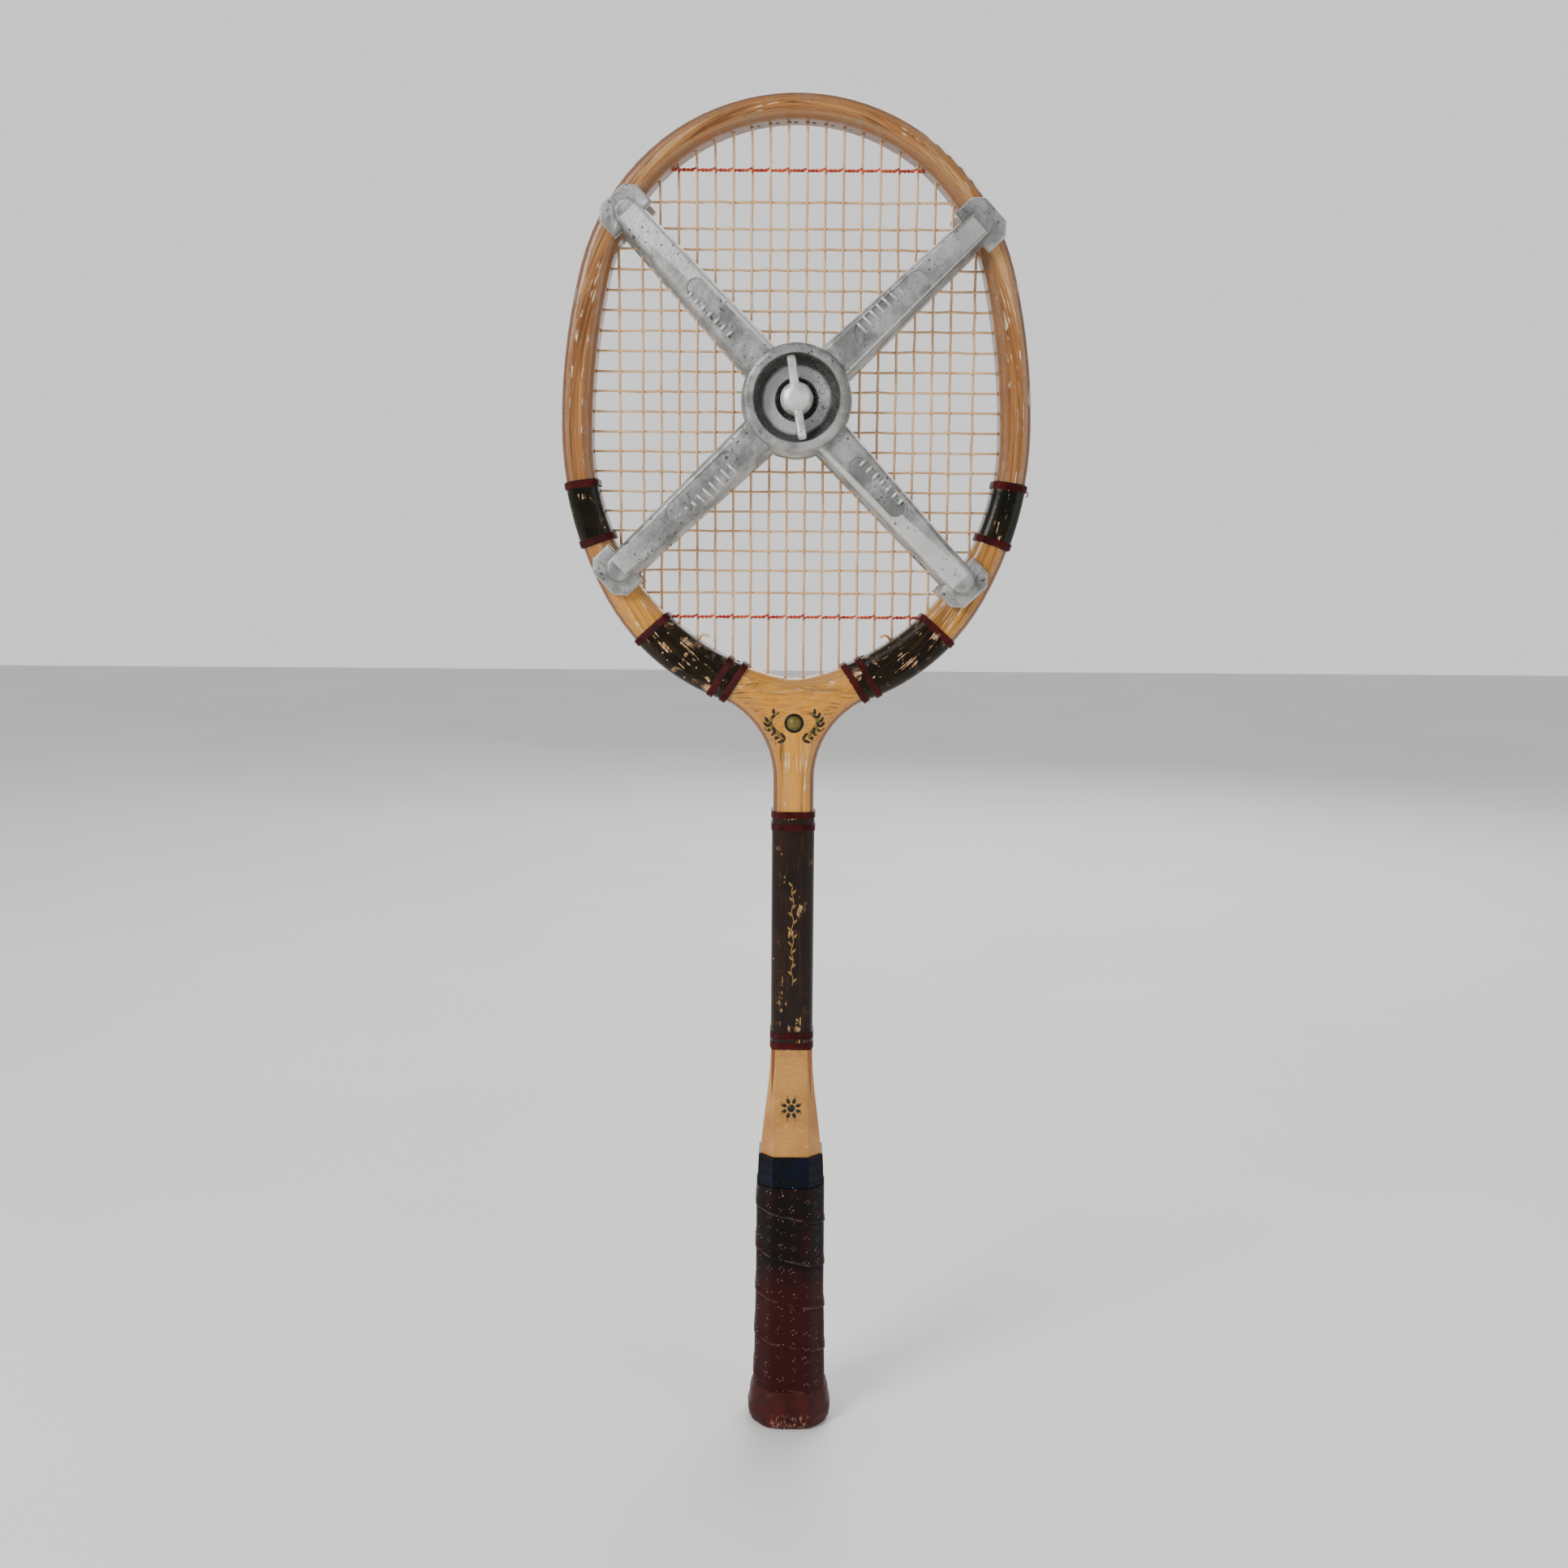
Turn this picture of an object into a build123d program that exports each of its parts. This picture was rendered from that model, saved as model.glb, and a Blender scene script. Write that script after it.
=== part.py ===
"""Laminated wooden tennis racket with whippings, gut strings, a leather grip and a two-plate screw press.

Units are millimetres.  The origin is the middle of the butt, +Z runs up the racket to the tip of
the head, +X is to the right and the front face looks along -Y.
"""
from build123d import *
import os
from math import cos, radians, sin, sqrt

# ---- whole racket ---------------------------------------------------------------------------
overall_length = 685.8          # butt to tip, the standard twenty-seven inches
bow_depth = 19.0                # hoop and shaft, front to back
bow_edge_radius = 4.5           # rounding along the hoop and the shaft

# ---- hoop: outer and inner ovals, each quarter an end arc that runs into a longer side arc -----
head_width = 233.4
head_rise = 159.5               # widest level up to the tip
head_drop = 141.0               # widest level down to the foot of the outer oval
head_top_turn = 74.8            # degrees of turn in the arc over the tip, each side
head_foot_turn = 61.3
hoop_wall_at_side = 15.35
opening_rise = 152.9
opening_drop = 118.4
opening_top_turn = 77.4
opening_foot_turn = 12.6
hoop_wall_at_tip = 12.6

# ---- shaft, throat and plies -----------------------------------------------------------------
shaft_width = 20.8
throat_radius = 45.0            # sweep from the shaft into the hoop
outer_ply_thickness = 2.0
core_ply_thickness = 2.2
core_ply_count = 3
liner_ply_thickness = 2.0       # ring between the core plies and the inner ply

# ---- handle: eight-sided wood built up round the shaft by four cheeks -------------------------
handle_width = 32.9
handle_depth = 28.6
handle_bevel = 7.15             # side of each corner bevel, measured along the flats
flare_top = 208.0               # where the cheeks start below the shaft wrap
flare_foot = 138.0              # where the handle reaches its full section
cheek_toe = 0.5                 # thickness of a cheek where it starts
shaft_bevel = 2.8               # corner bevel of the flare at its top

# ---- grip, butt and coverings of the handle ---------------------------------------------------
butt_plate_thickness = 2.5
butt_plate_grow = 1.8           # butt plate outside the handle wood
cuff_top = 20.0
cuff_thickness = 1.6
cuff_swell = [(0.0, 3.4), (2.5, 5.3), (7.0, 6.1), (14.0, 4.9), (cuff_top, 3.7)]
grip_top = 134.0
grip_swell = [(cuff_top, 3.1), (47.0, 2.5), (80.0, 1.9), (grip_top, 1.7)]
top_band_top = 151.0
top_band_thickness = 0.9

# ---- whippings of the hoop and the shaft -------------------------------------------------------
wrap_thickness = 0.6
thread_thickness = 0.55
thread_band_width = 3.3
hoop_cut_inside = 22.8          # reach of the end cuts from the rim, inwards and outwards
hoop_cut_outside = 9.5
shaft_wrap_top = 334.0
shaft_band_levels = [330.6, 324.1, 213.8, 208.4]      # foot of each thread band on the shaft
side_wrap_ends = (-8.8, -19.8)                        # outward direction at each end, degrees
side_band_places = (-9.5, -19.1)
shoulder_wrap_ends = [(-41.9, -41.9), (-71.5, -57.3)] # place on the rim and slant of each end
shoulder_band_places = [(-42.9, -42.3), (-66.7, -59.5), (-70.5, -57.6)]

# ---- strings ------------------------------------------------------------------------------------
string_diameter = 1.3
string_layer_gap = 0.2          # mains run behind the crosses
main_pitch = 9.0
main_count = 18                 # evenly spaced mains; one more stands off at each side
main_side_gap = 11.5
cross_pitch = 9.8
cross_count = 18                # evenly spaced crosses; one more stands off at each end
cross_foot_drop = 63.9          # lowest even cross below the widest level of the opening
cross_low_gap = 11.3
cross_high_gap = 12.6
trebling_diameter = 1.0
trebling_places = {"trebling_bottom": -87.3, "trebling_top": 130.3}   # from the widest level of the opening
groove_width = 3.4
groove_depth = 1.2
groove_foot_drop = 88.3         # the string groove starts this far below the widest level of the head

# ---- press ------------------------------------------------------------------------------------------
press_turn = -1.7               # the castings sit slightly turned on the head, degrees
clamp_gap = 0.3                 # pads to hoop
pad_inset = 6.341               # middle of a pad inside the rim, along its arm
pad_length = 25.0               # along the hoop
pad_width = 15.5                # across the hoop
pad_thickness = 5.0
pad_chamfer = 5.0
pad_edge_radius = 1.2
arm_width_hub = 21.0
arm_width_pad = 15.6
arm_height = 10.0
arm_draft = 9.0                 # degrees
arm_edge_radius = 2.2
hub_diameter = 55.0
hub_height = 14.5
hub_draft = 5.0                 # degrees
hub_lip_radius = 2.5
cup_mouth_diameter = 43.0
cup_floor_diameter = 34.0
cup_depth = 11.0
well_diameter = 21.0            # recess in the cup floor for the nut
boss_diameter = 29.0            # behind the hub, round the well
boss_reach = 4.6                # boss ahead of the pad plane, towards the strings
web_thickness = 3.2             # under the washer
cartouche_start = 40.0
cartouche_sizes = [(46.0, 12.0), (36.0, 9.5)]         # long and short panels, on alternate arms
cartouche_depth = 0.6
stud_diameter = 7.0
stud_point_chamfer = 0.8
stud_slide_gap = 0.35           # radial, stud in the front casting
stud_head_across = 15.0
stud_head_height = 4.0
back_hub_height = 9.0
washer_diameter = 17.0
washer_thickness = 1.3
thread_gap = 0.05               # radial, nut on stud
nut_shank_diameter = 12.5
nut_dome_diameter = 16.0
nut_dome_foot = 5.0             # dome above the washer
nut_dome_radius = 4.8           # rounding over the dome
nut_dome_chamfer = 1.4          # under the dome
nut_height = 15.0
nut_bore_depth = 10.5
stud_in_nut = 8.5               # length of stud inside the nut
wing_span = 41.0
wing_thickness = 4.4
wing_root_rise = 8.0            # top of the wings at the axis, above the dome's foot
wing_profile = [(-1.2, 6.6), (0.0, 9.2), (-2.0, 12.4), (-9.5, 10.2)]  # (from the tip, rise)
wing_corner_radius = 1.3
wing_edge_radius = 1.2
wing_tilt = 8.5                 # degrees, where the nut stopped when it was done up

# ---- worked out from the sizes above -----------------------------------------------------------------
head_level = overall_length - head_rise
opening_level = overall_length - hoop_wall_at_tip - opening_rise
opening_width = head_width - 2 * hoop_wall_at_side
cross_foot = opening_level - cross_foot_drop
groove_foot = head_level - groove_foot_drop
shaft_half = shaft_width / 2
depth_half = bow_depth / 2
leg_foot = butt_plate_thickness
press_level = cross_foot + cross_pitch * (cross_count / 2 - 0.5)
pad_plane = depth_half + clamp_gap
core_inset = outer_ply_thickness + core_ply_count * core_ply_thickness
main_depth = (string_diameter + string_layer_gap) / 2
rim_reach = sqrt(2) / sqrt((2 / head_width) ** 2 + (2 / (head_rise + head_drop)) ** 2)
pad_reach = rim_reach - pad_inset                       # middle of a pad from the stud
washer_floor = pad_plane - boss_reach + web_thickness
nut_floor = washer_floor + washer_thickness


def quarter_radii(half_width, height, turn):
    """Radii of the end arc and the side arc of a quarter oval that meet without a corner."""
    across, along = sin(radians(turn)), cos(radians(turn))
    side = (height - half_width * (1 - along) / across) / (along - (1 - across) * (1 - along) / across)
    return (half_width - side * (1 - across)) / across, side


def oval_face(level, half_width, rise, drop, top_turn, foot_turn):
    """Filled oval with its widest part at this level."""
    right = Curve()
    for height, turn, sign in ((rise, top_turn, 1), (drop, foot_turn, -1)):
        end_radius, side_radius = quarter_radii(half_width, height, turn)
        end_arc = CenterArc((0, sign * (height - end_radius)), end_radius, 90 * sign, -turn * sign)
        side_arc = CenterArc((half_width - side_radius, 0), side_radius, 0, sign * (90 - turn))
        right += [end_arc, side_arc]
    return Pos(0, level) * make_face(right + mirror(right, Plane.YZ))


def head_face(inset):
    """Filled outer oval of the head, drawn in by the inset."""
    return oval_face(head_level, head_width / 2 - inset, head_rise - inset, head_drop - inset,
                     head_top_turn, head_foot_turn)


def opening_face(inset):
    """Filled oval of the strung opening, drawn in by the inset."""
    return oval_face(opening_level, opening_width / 2 - inset, opening_rise - inset, opening_drop - inset,
                     opening_top_turn, opening_foot_turn)


def bow_face(inset):
    """Outline of the head, the throat sweeps and the shaft, drawn in by the inset."""
    leg = Pos(0, (leg_foot + head_level) / 2) * Rectangle(2 * (shaft_half - inset), head_level - leg_foot)
    blank = head_face(inset) + leg
    crotch = [corner for corner in blank.vertices()
              if corner.Y > flare_top and abs(corner.X) < shaft_half - inset + 1]
    return fillet(crotch, throat_radius + inset)


def upright(face, depth):
    """Stand a flat drawing up in the XZ plane and give it a depth centred on it."""
    return extrude(Plane.XZ * face, amount=depth / 2, both=True)


def slab(low, high, size=4 * head_width):
    """Everything between two levels."""
    return Pos(0, 0, (low + high) / 2) * Box(size, size, high - low)


# ---- bow ------------------------------------------------------------------------------------------------
def rounded_bow(grow):
    """Hoop, throat and shaft with rounded edges, swelled all round by grow; square inside the handle."""
    ring = bow_face(-grow) - opening_face(grow)
    blank = upright(ring, bow_depth + 2 * grow)
    long_edges = [edge for edge in blank.edges() if abs(abs(edge.center().Y) - depth_half - grow) < 0.01
                  and edge.bounding_box().max.Z > flare_top]
    return fillet(long_edges, bow_edge_radius + grow)


def string_groove():
    rim = bow_face(-1) - bow_face(groove_depth)
    return upright(rim, groove_width) & slab(groove_foot, overall_length + bow_depth)


even_mains = [(place - (main_count - 1) / 2) * main_pitch for place in range(main_count)]
main_places = [even_mains[0] - main_side_gap, *even_mains, even_mains[-1] + main_side_gap]
even_crosses = [cross_foot + place * cross_pitch for place in range(cross_count)]
cross_places = [cross_foot - cross_low_gap, *even_crosses, even_crosses[-1] + cross_high_gap]


def rod_up(place, depth, diameter):
    rod = Cylinder(diameter / 2, opening_rise + opening_drop + bow_depth)
    return Pos(place, depth, opening_level + (opening_rise - opening_drop) / 2) * rod


def rod_across(level, depth, diameter):
    return Pos(0, depth, level) * Rot(0, 90, 0) * Cylinder(diameter / 2, head_width)


# ---- handle ---------------------------------------------------------------------------------------------
def eight_sided(profiles):
    """Body whose width, depth and two pairs of bevels each follow a half profile of (half, level)."""
    body = None
    for turn, outline in profiles:
        half_face = make_face(outline)
        prism = Rot(0, 0, turn) * extrude(Plane.XZ * (half_face + mirror(half_face, Plane.YZ)),
                                          amount=handle_width * 2, both=True)
        body = prism if body is None else body & prism
    return body


def handle_halves(width, depth, bevel):
    """Distances of the flats and of the bevels from the axis, with the turn of each pair."""
    diagonal = (width / 2 + depth / 2 - bevel) / sqrt(2)
    return [(0, width / 2), (90, depth / 2), (45, diagonal), (-45, diagonal)]


full_halves = handle_halves(handle_width, handle_depth, handle_bevel)
toe_halves = handle_halves(shaft_width + 2 * cheek_toe, bow_depth + 2 * cheek_toe, shaft_bevel)


def handle_body(grow, low, high):
    """Handle with its flare, swelled by grow, between two levels."""
    profiles = []
    for (turn, full), (_, toe) in zip(full_halves, toe_halves):
        full_x, toe_x = full + grow, toe + grow
        flare = Spline((full_x, flare_foot), (toe_x, flare_top), tangents=[(0, 1), (0, 1)])
        side = Line((full_x, 0), (full_x, flare_foot))
        profiles.append((turn, Curve() + [side, flare, Polyline((toe_x, flare_top), (0, flare_top),
                                                               (0, 0), (full_x, 0))]))
    return eight_sided(profiles) & slab(low, high)


def swelled_handle(stations):
    """Straight part of the handle swelled by an amount that changes with the level."""
    low, high = stations[0][0], stations[-1][0]
    profiles = []
    for turn, full in full_halves:
        side = Spline(*[(full + grow, level) for level, grow in stations])
        profiles.append((turn, Curve() + [side, Polyline((full + stations[-1][1], high), (0, high),
                                                        (0, low), (full + stations[0][1], low))]))
    return eight_sided(profiles)


# ---- whippings ---------------------------------------------------------------------------------------------
def rim_point(direction):
    """Point of the outer oval where its outward direction is this many degrees from +X."""
    height, turn, sign = (head_rise, head_top_turn, 1) if direction > 0 else (head_drop, head_foot_turn, -1)
    end_radius, side_radius = quarter_radii(head_width / 2, height, turn)
    if abs(direction) > 90 - turn:
        centre, radius = Vector(0, head_level + sign * (height - end_radius)), end_radius
    else:
        centre, radius = Vector(head_width / 2 - side_radius, head_level), side_radius
    return centre + Vector(radius, 0).rotate(Axis.Z, direction)


def hoop_cut(place, slant):
    """Two points of a line across the hoop, well inside it and well outside it."""
    outward = Vector(1, 0).rotate(Axis.Z, slant)
    return rim_point(place) - outward * hoop_cut_inside, rim_point(place) + outward * hoop_cut_outside


def hoop_block(corners, side):
    """Block over the hoop, on the right or mirrored to the left."""
    outline = Polyline(*[(side * corner.X, corner.Y) for corner in corners], close=True)
    return upright(make_face(outline), 2 * bow_depth)


def hoop_stretch(first, second, side):
    """Block that takes in the hoop between two cuts, each a place on the rim and a slant."""
    inner_start, outer_start = hoop_cut(*first)
    inner_end, outer_end = hoop_cut(*second)
    return hoop_block([inner_start, outer_start, outer_end, inner_end], side)


def hoop_slice(place, slant, width, side):
    """Block a given width thick across the hoop."""
    inner, outer = hoop_cut(place, slant)
    along = Vector(0, width / 2).rotate(Axis.Z, slant)
    return hoop_block([inner - along, outer - along, outer + along, inner + along], side)


# ---- press -------------------------------------------------------------------------------------------------
front_place = Plane(origin=(0, 0, press_level), x_dir=(1, 0, 0), z_dir=(0, -1, 0))
back_place = Plane(origin=(0, 0, press_level), x_dir=(1, 0, 0), z_dir=(0, 1, 0))


def press_arm(cartouche):
    """One arm along +X with its pad; the pad plane is Z = pad_plane."""
    start = hub_diameter / 4
    end = pad_reach - pad_width / 4
    bar = make_face(Polyline((start, -arm_width_hub / 2), (end, -arm_width_pad / 2),
                             (end, arm_width_pad / 2), (start, arm_width_hub / 2), close=True))
    nose = Pos(end, 0) * Circle(arm_width_pad / 2)
    arm = extrude(Pos(0, 0, pad_plane) * (bar + nose), amount=arm_height, taper=arm_draft)
    arm = fillet(arm.faces().sort_by(Axis.Z)[-1].edges(), arm_edge_radius)
    length, width = cartouche
    panel_floor = Pos(cartouche_start + length / 2, 0, pad_plane + arm_height - cartouche_depth)
    arm -= extrude(panel_floor * SlotOverall(length, width), amount=2 * cartouche_depth)
    pad_face = Pos(pad_reach, 0) * Rectangle(pad_width, pad_length)
    pad_face = chamfer(pad_face.vertices().sort_by(Axis.X)[-2:], pad_chamfer)
    pad = extrude(Pos(0, 0, pad_plane) * pad_face, amount=pad_thickness)
    pad = fillet(pad.faces().sort_by(Axis.Z)[-1].edges(), pad_edge_radius)
    return arm + pad


def press_star(turn):
    star = None
    for place in range(4):
        arm = Rot(0, 0, 45 + 90 * place + turn) * press_arm(cartouche_sizes[place % 2])
        star = arm if star is None else star + arm
    return star


def hub_blank(height):
    hub = extrude(Pos(0, 0, pad_plane) * Circle(hub_diameter / 2), amount=height, taper=hub_draft)
    return fillet(hub.edges().sort_by(Axis.Z)[-1], hub_lip_radius)


def press_front():
    top = pad_plane + hub_height
    cup_floor = top - cup_depth
    casting = press_star(press_turn) + hub_blank(hub_height)
    casting += Pos(0, 0, pad_plane - boss_reach / 2) * Cylinder(boss_diameter / 2, boss_reach)
    cup = Cone(cup_floor_diameter / 2, cup_mouth_diameter / 2, cup_depth)
    cup = Pos(0, 0, top - cup_depth / 2) * cup
    well = Pos(0, 0, (cup_floor + washer_floor) / 2) * Cylinder(well_diameter / 2, cup_floor - washer_floor)
    hole = Cylinder(stud_diameter / 2 + stud_slide_gap, 4 * pad_plane)
    return casting - cup - well - hole


def press_back():
    casting = press_star(-press_turn) + hub_blank(back_hub_height)
    hole = Cylinder(stud_diameter / 2, 8 * pad_plane)
    return casting - hole


def press_washer():
    ring = Circle(washer_diameter / 2) - Circle(stud_diameter / 2 + stud_slide_gap)
    return extrude(Pos(0, 0, washer_floor) * ring, amount=washer_thickness)


def press_stud():
    """Stud seen from the front: its head bears on the back of the rear casting."""
    head_seat = -(pad_plane + back_hub_height)
    tip = nut_floor + stud_in_nut
    shank = Pos(0, 0, (head_seat + tip) / 2) * Cylinder(stud_diameter / 2, tip - head_seat)
    shank = chamfer(shank.edges().sort_by(Axis.Z)[-1], stud_point_chamfer)
    head = extrude(Pos(0, 0, head_seat) * RegularPolygon(stud_head_across / 2, 6, major_radius=False),
                   amount=-stud_head_height)
    return shank + head


def wing_nut():
    dome_radius = nut_dome_diameter / 2
    dome_foot = nut_floor + nut_dome_foot
    shank = Pos(0, 0, nut_floor + nut_height / 4) * Cylinder(nut_shank_diameter / 2, nut_height / 2)
    dome_height = nut_height - nut_dome_foot
    crown = Pos(0, 0, dome_foot + dome_height / 2) * Cylinder(dome_radius, dome_height)
    crown = fillet(crown.edges().sort_by(Axis.Z)[-1], nut_dome_radius)
    crown = chamfer(crown.edges().sort_by(Axis.Z)[0], nut_dome_chamfer)
    corners = [(wing_span / 2 + inward, dome_foot + rise) for inward, rise in wing_profile]
    outline = Polyline((0, dome_foot), (dome_radius, dome_foot), *corners,
                       (0, dome_foot + wing_root_rise), close=True)
    blade = fillet(make_face(outline).vertices().sort_by(Axis.X)[-3:], wing_corner_radius)
    wing = extrude(Plane.XZ * blade, amount=wing_thickness / 2, both=True)
    wings = wing + Rot(0, 0, 180) * wing
    rim = [edge for edge in wings.edges() if abs(edge.center().Y) > wing_thickness / 2 - 0.1]
    wings = fillet(rim, wing_edge_radius)
    bore = Pos(0, 0, nut_floor + nut_bore_depth / 2) * Cylinder(stud_diameter / 2 + thread_gap, nut_bore_depth)
    return Rot(0, 0, 90 + wing_tilt) * (shank + crown + wings - bore)


# ---- build every piece ------------------------------------------------------------------------------------
pieces = {}
bow = rounded_bow(0) & slab(flare_top, 2 * overall_length)
bow += upright(Pos(0, (leg_foot + flare_top) / 2) * Rectangle(shaft_width, flare_top - leg_foot), bow_depth)
bow -= string_groove()

insets = [0, outer_ply_thickness]
insets += [outer_ply_thickness + step * core_ply_thickness for step in range(1, core_ply_count + 1)]
ply_names = ["outer_ply", "core_ply_outer", "core_ply_middle", "core_ply_inner"]
for name, outside, inside in zip(ply_names, insets, insets[1:]):
    pieces[name] = bow & upright(bow_face(outside) - bow_face(inside), 2 * bow_depth)
pieces["throat_wedge"] = bow & upright(bow_face(core_inset) - head_face(core_inset), 2 * bow_depth)
ring = head_face(core_inset) - head_face(core_inset + liner_ply_thickness)
pieces["liner_ply"] = bow & upright(ring, 2 * bow_depth)
pieces["inner_ply"] = bow & upright(head_face(core_inset + liner_ply_thickness), 2 * bow_depth)

handle = handle_body(0, leg_foot, flare_top)
side_box = Box(2 * handle_width, bow_depth, 2 * flare_top)
face_box = Box(4 * handle_width, 2 * handle_width, 2 * flare_top)
for name, sign in (("cheek_left", -1), ("cheek_right", 1)):
    pieces[name] = handle & Pos(sign * (shaft_half + handle_width), 0, flare_top / 2) * side_box
for name, sign in (("cheek_front", -1), ("cheek_back", 1)):
    pieces[name] = handle & Pos(0, sign * (depth_half + handle_width), flare_top / 2) * face_box

plain_handle = handle_body(0, 0, flare_foot)
pieces["butt_plate"] = swelled_handle([(0, butt_plate_grow), (leg_foot, butt_plate_grow)])
collar_swell = [(level, grow - cuff_thickness) for level, grow in cuff_swell if level >= leg_foot]
collar_solid = swelled_handle(collar_swell)
pieces["butt_collar"] = collar_solid - plain_handle
pieces["butt_cuff"] = swelled_handle(cuff_swell) - collar_solid - pieces["butt_plate"] - plain_handle
pieces["leather_grip"] = swelled_handle(grip_swell) - plain_handle
pieces["grip_top_band"] = handle_body(top_band_thickness, grip_top, top_band_top) - handle

bare = rounded_bow(0)
wrapped = rounded_bow(wrap_thickness)
banded = rounded_bow(wrap_thickness + thread_thickness)


def wrap_piece(zone):
    return (wrapped & zone) - bare


def thread_band(zone):
    return (banded & zone) - wrapped


pieces["shaft_wrap"] = wrap_piece(slab(flare_top, shaft_wrap_top))
shaft_bands = [thread_band(slab(level, level + thread_band_width)) for level in shaft_band_levels]
pieces["shaft_thread_bands"] = Compound(children=[band.solid() for band in shaft_bands])
side_ends = [(end, end) for end in side_wrap_ends]
covers = []
for hand, side in (("left", -1), ("right", 1)):
    pieces["side_wrap_" + hand] = wrap_piece(hoop_stretch(*side_ends, side))
    pieces["shoulder_wrap_" + hand] = wrap_piece(hoop_stretch(*shoulder_wrap_ends, side))
    for group, places in (("side_bands_", [(place, place) for place in side_band_places]),
                          ("shoulder_bands_", shoulder_band_places)):
        bands = [thread_band(hoop_slice(place, slant, thread_band_width, side)).solid()
                 for place, slant in places]
        pieces[group + hand] = Compound(children=bands)
        covers += bands
    covers += [pieces["side_wrap_" + hand].solid(), pieces["shoulder_wrap_" + hand].solid()]

strung_area = upright(opening_face(0), bow_depth) - covers


def strings(rods):
    """Rods trimmed to the hoop and to the whippings round it, as one group."""
    trimmed = [rod & strung_area for rod in rods]
    return Compound(children=[rod.solids().sort_by(SortBy.VOLUME)[-1] for rod in trimmed])


mains = [rod_up(place, main_depth, string_diameter) for place in main_places]
crosses = [rod_across(level, -main_depth, string_diameter) for level in cross_places]
pieces["main_strings"] = strings(mains)
pieces["cross_strings"] = strings(crosses)
for name, rise in trebling_places.items():
    pieces[name] = strings([rod_across(opening_level + rise, -trebling_diameter, trebling_diameter)])

pieces["press_front"] = front_place * press_front()
pieces["press_back"] = back_place * press_back()
pieces["press_stud"] = front_place * press_stud()
pieces["press_washer"] = front_place * press_washer()
pieces["wing_nut"] = front_place * wing_nut()

os.makedirs("parts", exist_ok=True)
for name, shape in pieces.items():
    export_step(shape, "parts/" + name + ".step")
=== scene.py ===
import random
from math import atan2, cos, pi, radians, sin, tau

import bmesh
import bpy
from mathutils import Matrix, Vector, noise
from mathutils.bvhtree import BVHTree


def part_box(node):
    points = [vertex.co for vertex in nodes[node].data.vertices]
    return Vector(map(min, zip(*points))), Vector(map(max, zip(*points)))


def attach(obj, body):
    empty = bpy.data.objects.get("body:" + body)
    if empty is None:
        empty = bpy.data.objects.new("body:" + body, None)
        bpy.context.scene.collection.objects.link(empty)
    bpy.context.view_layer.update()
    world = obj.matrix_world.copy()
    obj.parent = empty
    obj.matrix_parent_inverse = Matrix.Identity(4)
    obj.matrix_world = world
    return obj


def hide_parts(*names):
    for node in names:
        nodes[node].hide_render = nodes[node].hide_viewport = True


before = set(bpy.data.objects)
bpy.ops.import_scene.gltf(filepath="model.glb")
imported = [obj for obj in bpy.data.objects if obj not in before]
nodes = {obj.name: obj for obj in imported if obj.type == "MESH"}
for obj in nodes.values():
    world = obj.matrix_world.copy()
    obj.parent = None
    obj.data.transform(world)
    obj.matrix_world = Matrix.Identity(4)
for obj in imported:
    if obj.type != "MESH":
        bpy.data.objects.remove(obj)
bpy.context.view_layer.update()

MM = 0.001
random.seed(7)


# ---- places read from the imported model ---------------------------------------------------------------
def low(node):
    """Lowest corner of a node's box."""
    return Vector(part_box(node)[0])


def high(node):
    """Highest corner of a node's box."""
    return Vector(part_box(node)[1])


def rod_spans(node, across, along):
    """Each rod of a string node as (its place, its lower end, its upper end), in order."""
    points = sorted((v.co[across], v.co[along]) for v in nodes[node].data.vertices)
    rods = []
    for place, end in points:
        if not rods or place - rods[-1][-1][0] > 2 * MM:
            rods.append([])
        rods[-1].append((place, end))
    spans = []
    for rod in rods:
        places = [place for place, _ in rod]
        ends = [end for _, end in rod]
        spans.append(((min(places) + max(places)) / 2, min(ends), max(ends)))
    return spans


mains = rod_spans("main_strings", 0, 2)
crosses = rod_spans("cross_strings", 2, 0)
STRING = (high("main_strings").y - low("main_strings").y)
HALF_DEPTH = high("outer_ply").y
HEAD_HALF = high("outer_ply").x
HEAD_TOP = high("outer_ply").z
press_middle = (low("press_stud") + high("press_stud")) / 2
WRAP_FRONT = low("shaft_wrap").y
SHAFT_HALF = high("shaft_wrap").x

# outer line of the hoop: end arcs over the tip and the foot, longer arcs at the sides
HEAD_LEVEL = HEAD_TOP - 159.5 * MM
TOP_ARC = (110.1 * MM, 74.8)
FOOT_ARC = (108.35 * MM, 61.3)
SIDE_ABOVE, SIDE_BELOW = 298.5 * MM, 176.3 * MM
HEAD_FOOT = HEAD_LEVEL - 141.0 * MM


def rim(direction):
    """Point of the hoop's outer line whose outward direction is this many degrees from +X."""
    outward = Vector((cos(radians(direction)), 0, sin(radians(direction))))
    rise = sin(radians(direction)) >= 0
    end_radius, turn = TOP_ARC if rise else FOOT_ARC
    level = HEAD_TOP - end_radius if rise else HEAD_FOOT + end_radius
    turned = direction if rise else -direction
    slope = min(turned % 360, (180 - turned) % 360)
    if slope > 90 - turn:
        return Vector((0, 0, level)) + outward * end_radius, outward
    side = SIDE_ABOVE if rise else SIDE_BELOW
    centre = Vector(((HEAD_HALF - side) * (1 if cos(radians(direction)) > 0 else -1), 0, HEAD_LEVEL))
    return centre + outward * side, outward


# ---- materials ---------------------------------------------------------------------------------------
def linear(hex_colour):
    """An sRGB hex value as linear RGBA."""
    values = [int(hex_colour[i:i + 2], 16) / 255 for i in (1, 3, 5)]
    return (*[v / 12.92 if v <= 0.04045 else ((v + 0.055) / 1.055) ** 2.4 for v in values], 1)


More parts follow.
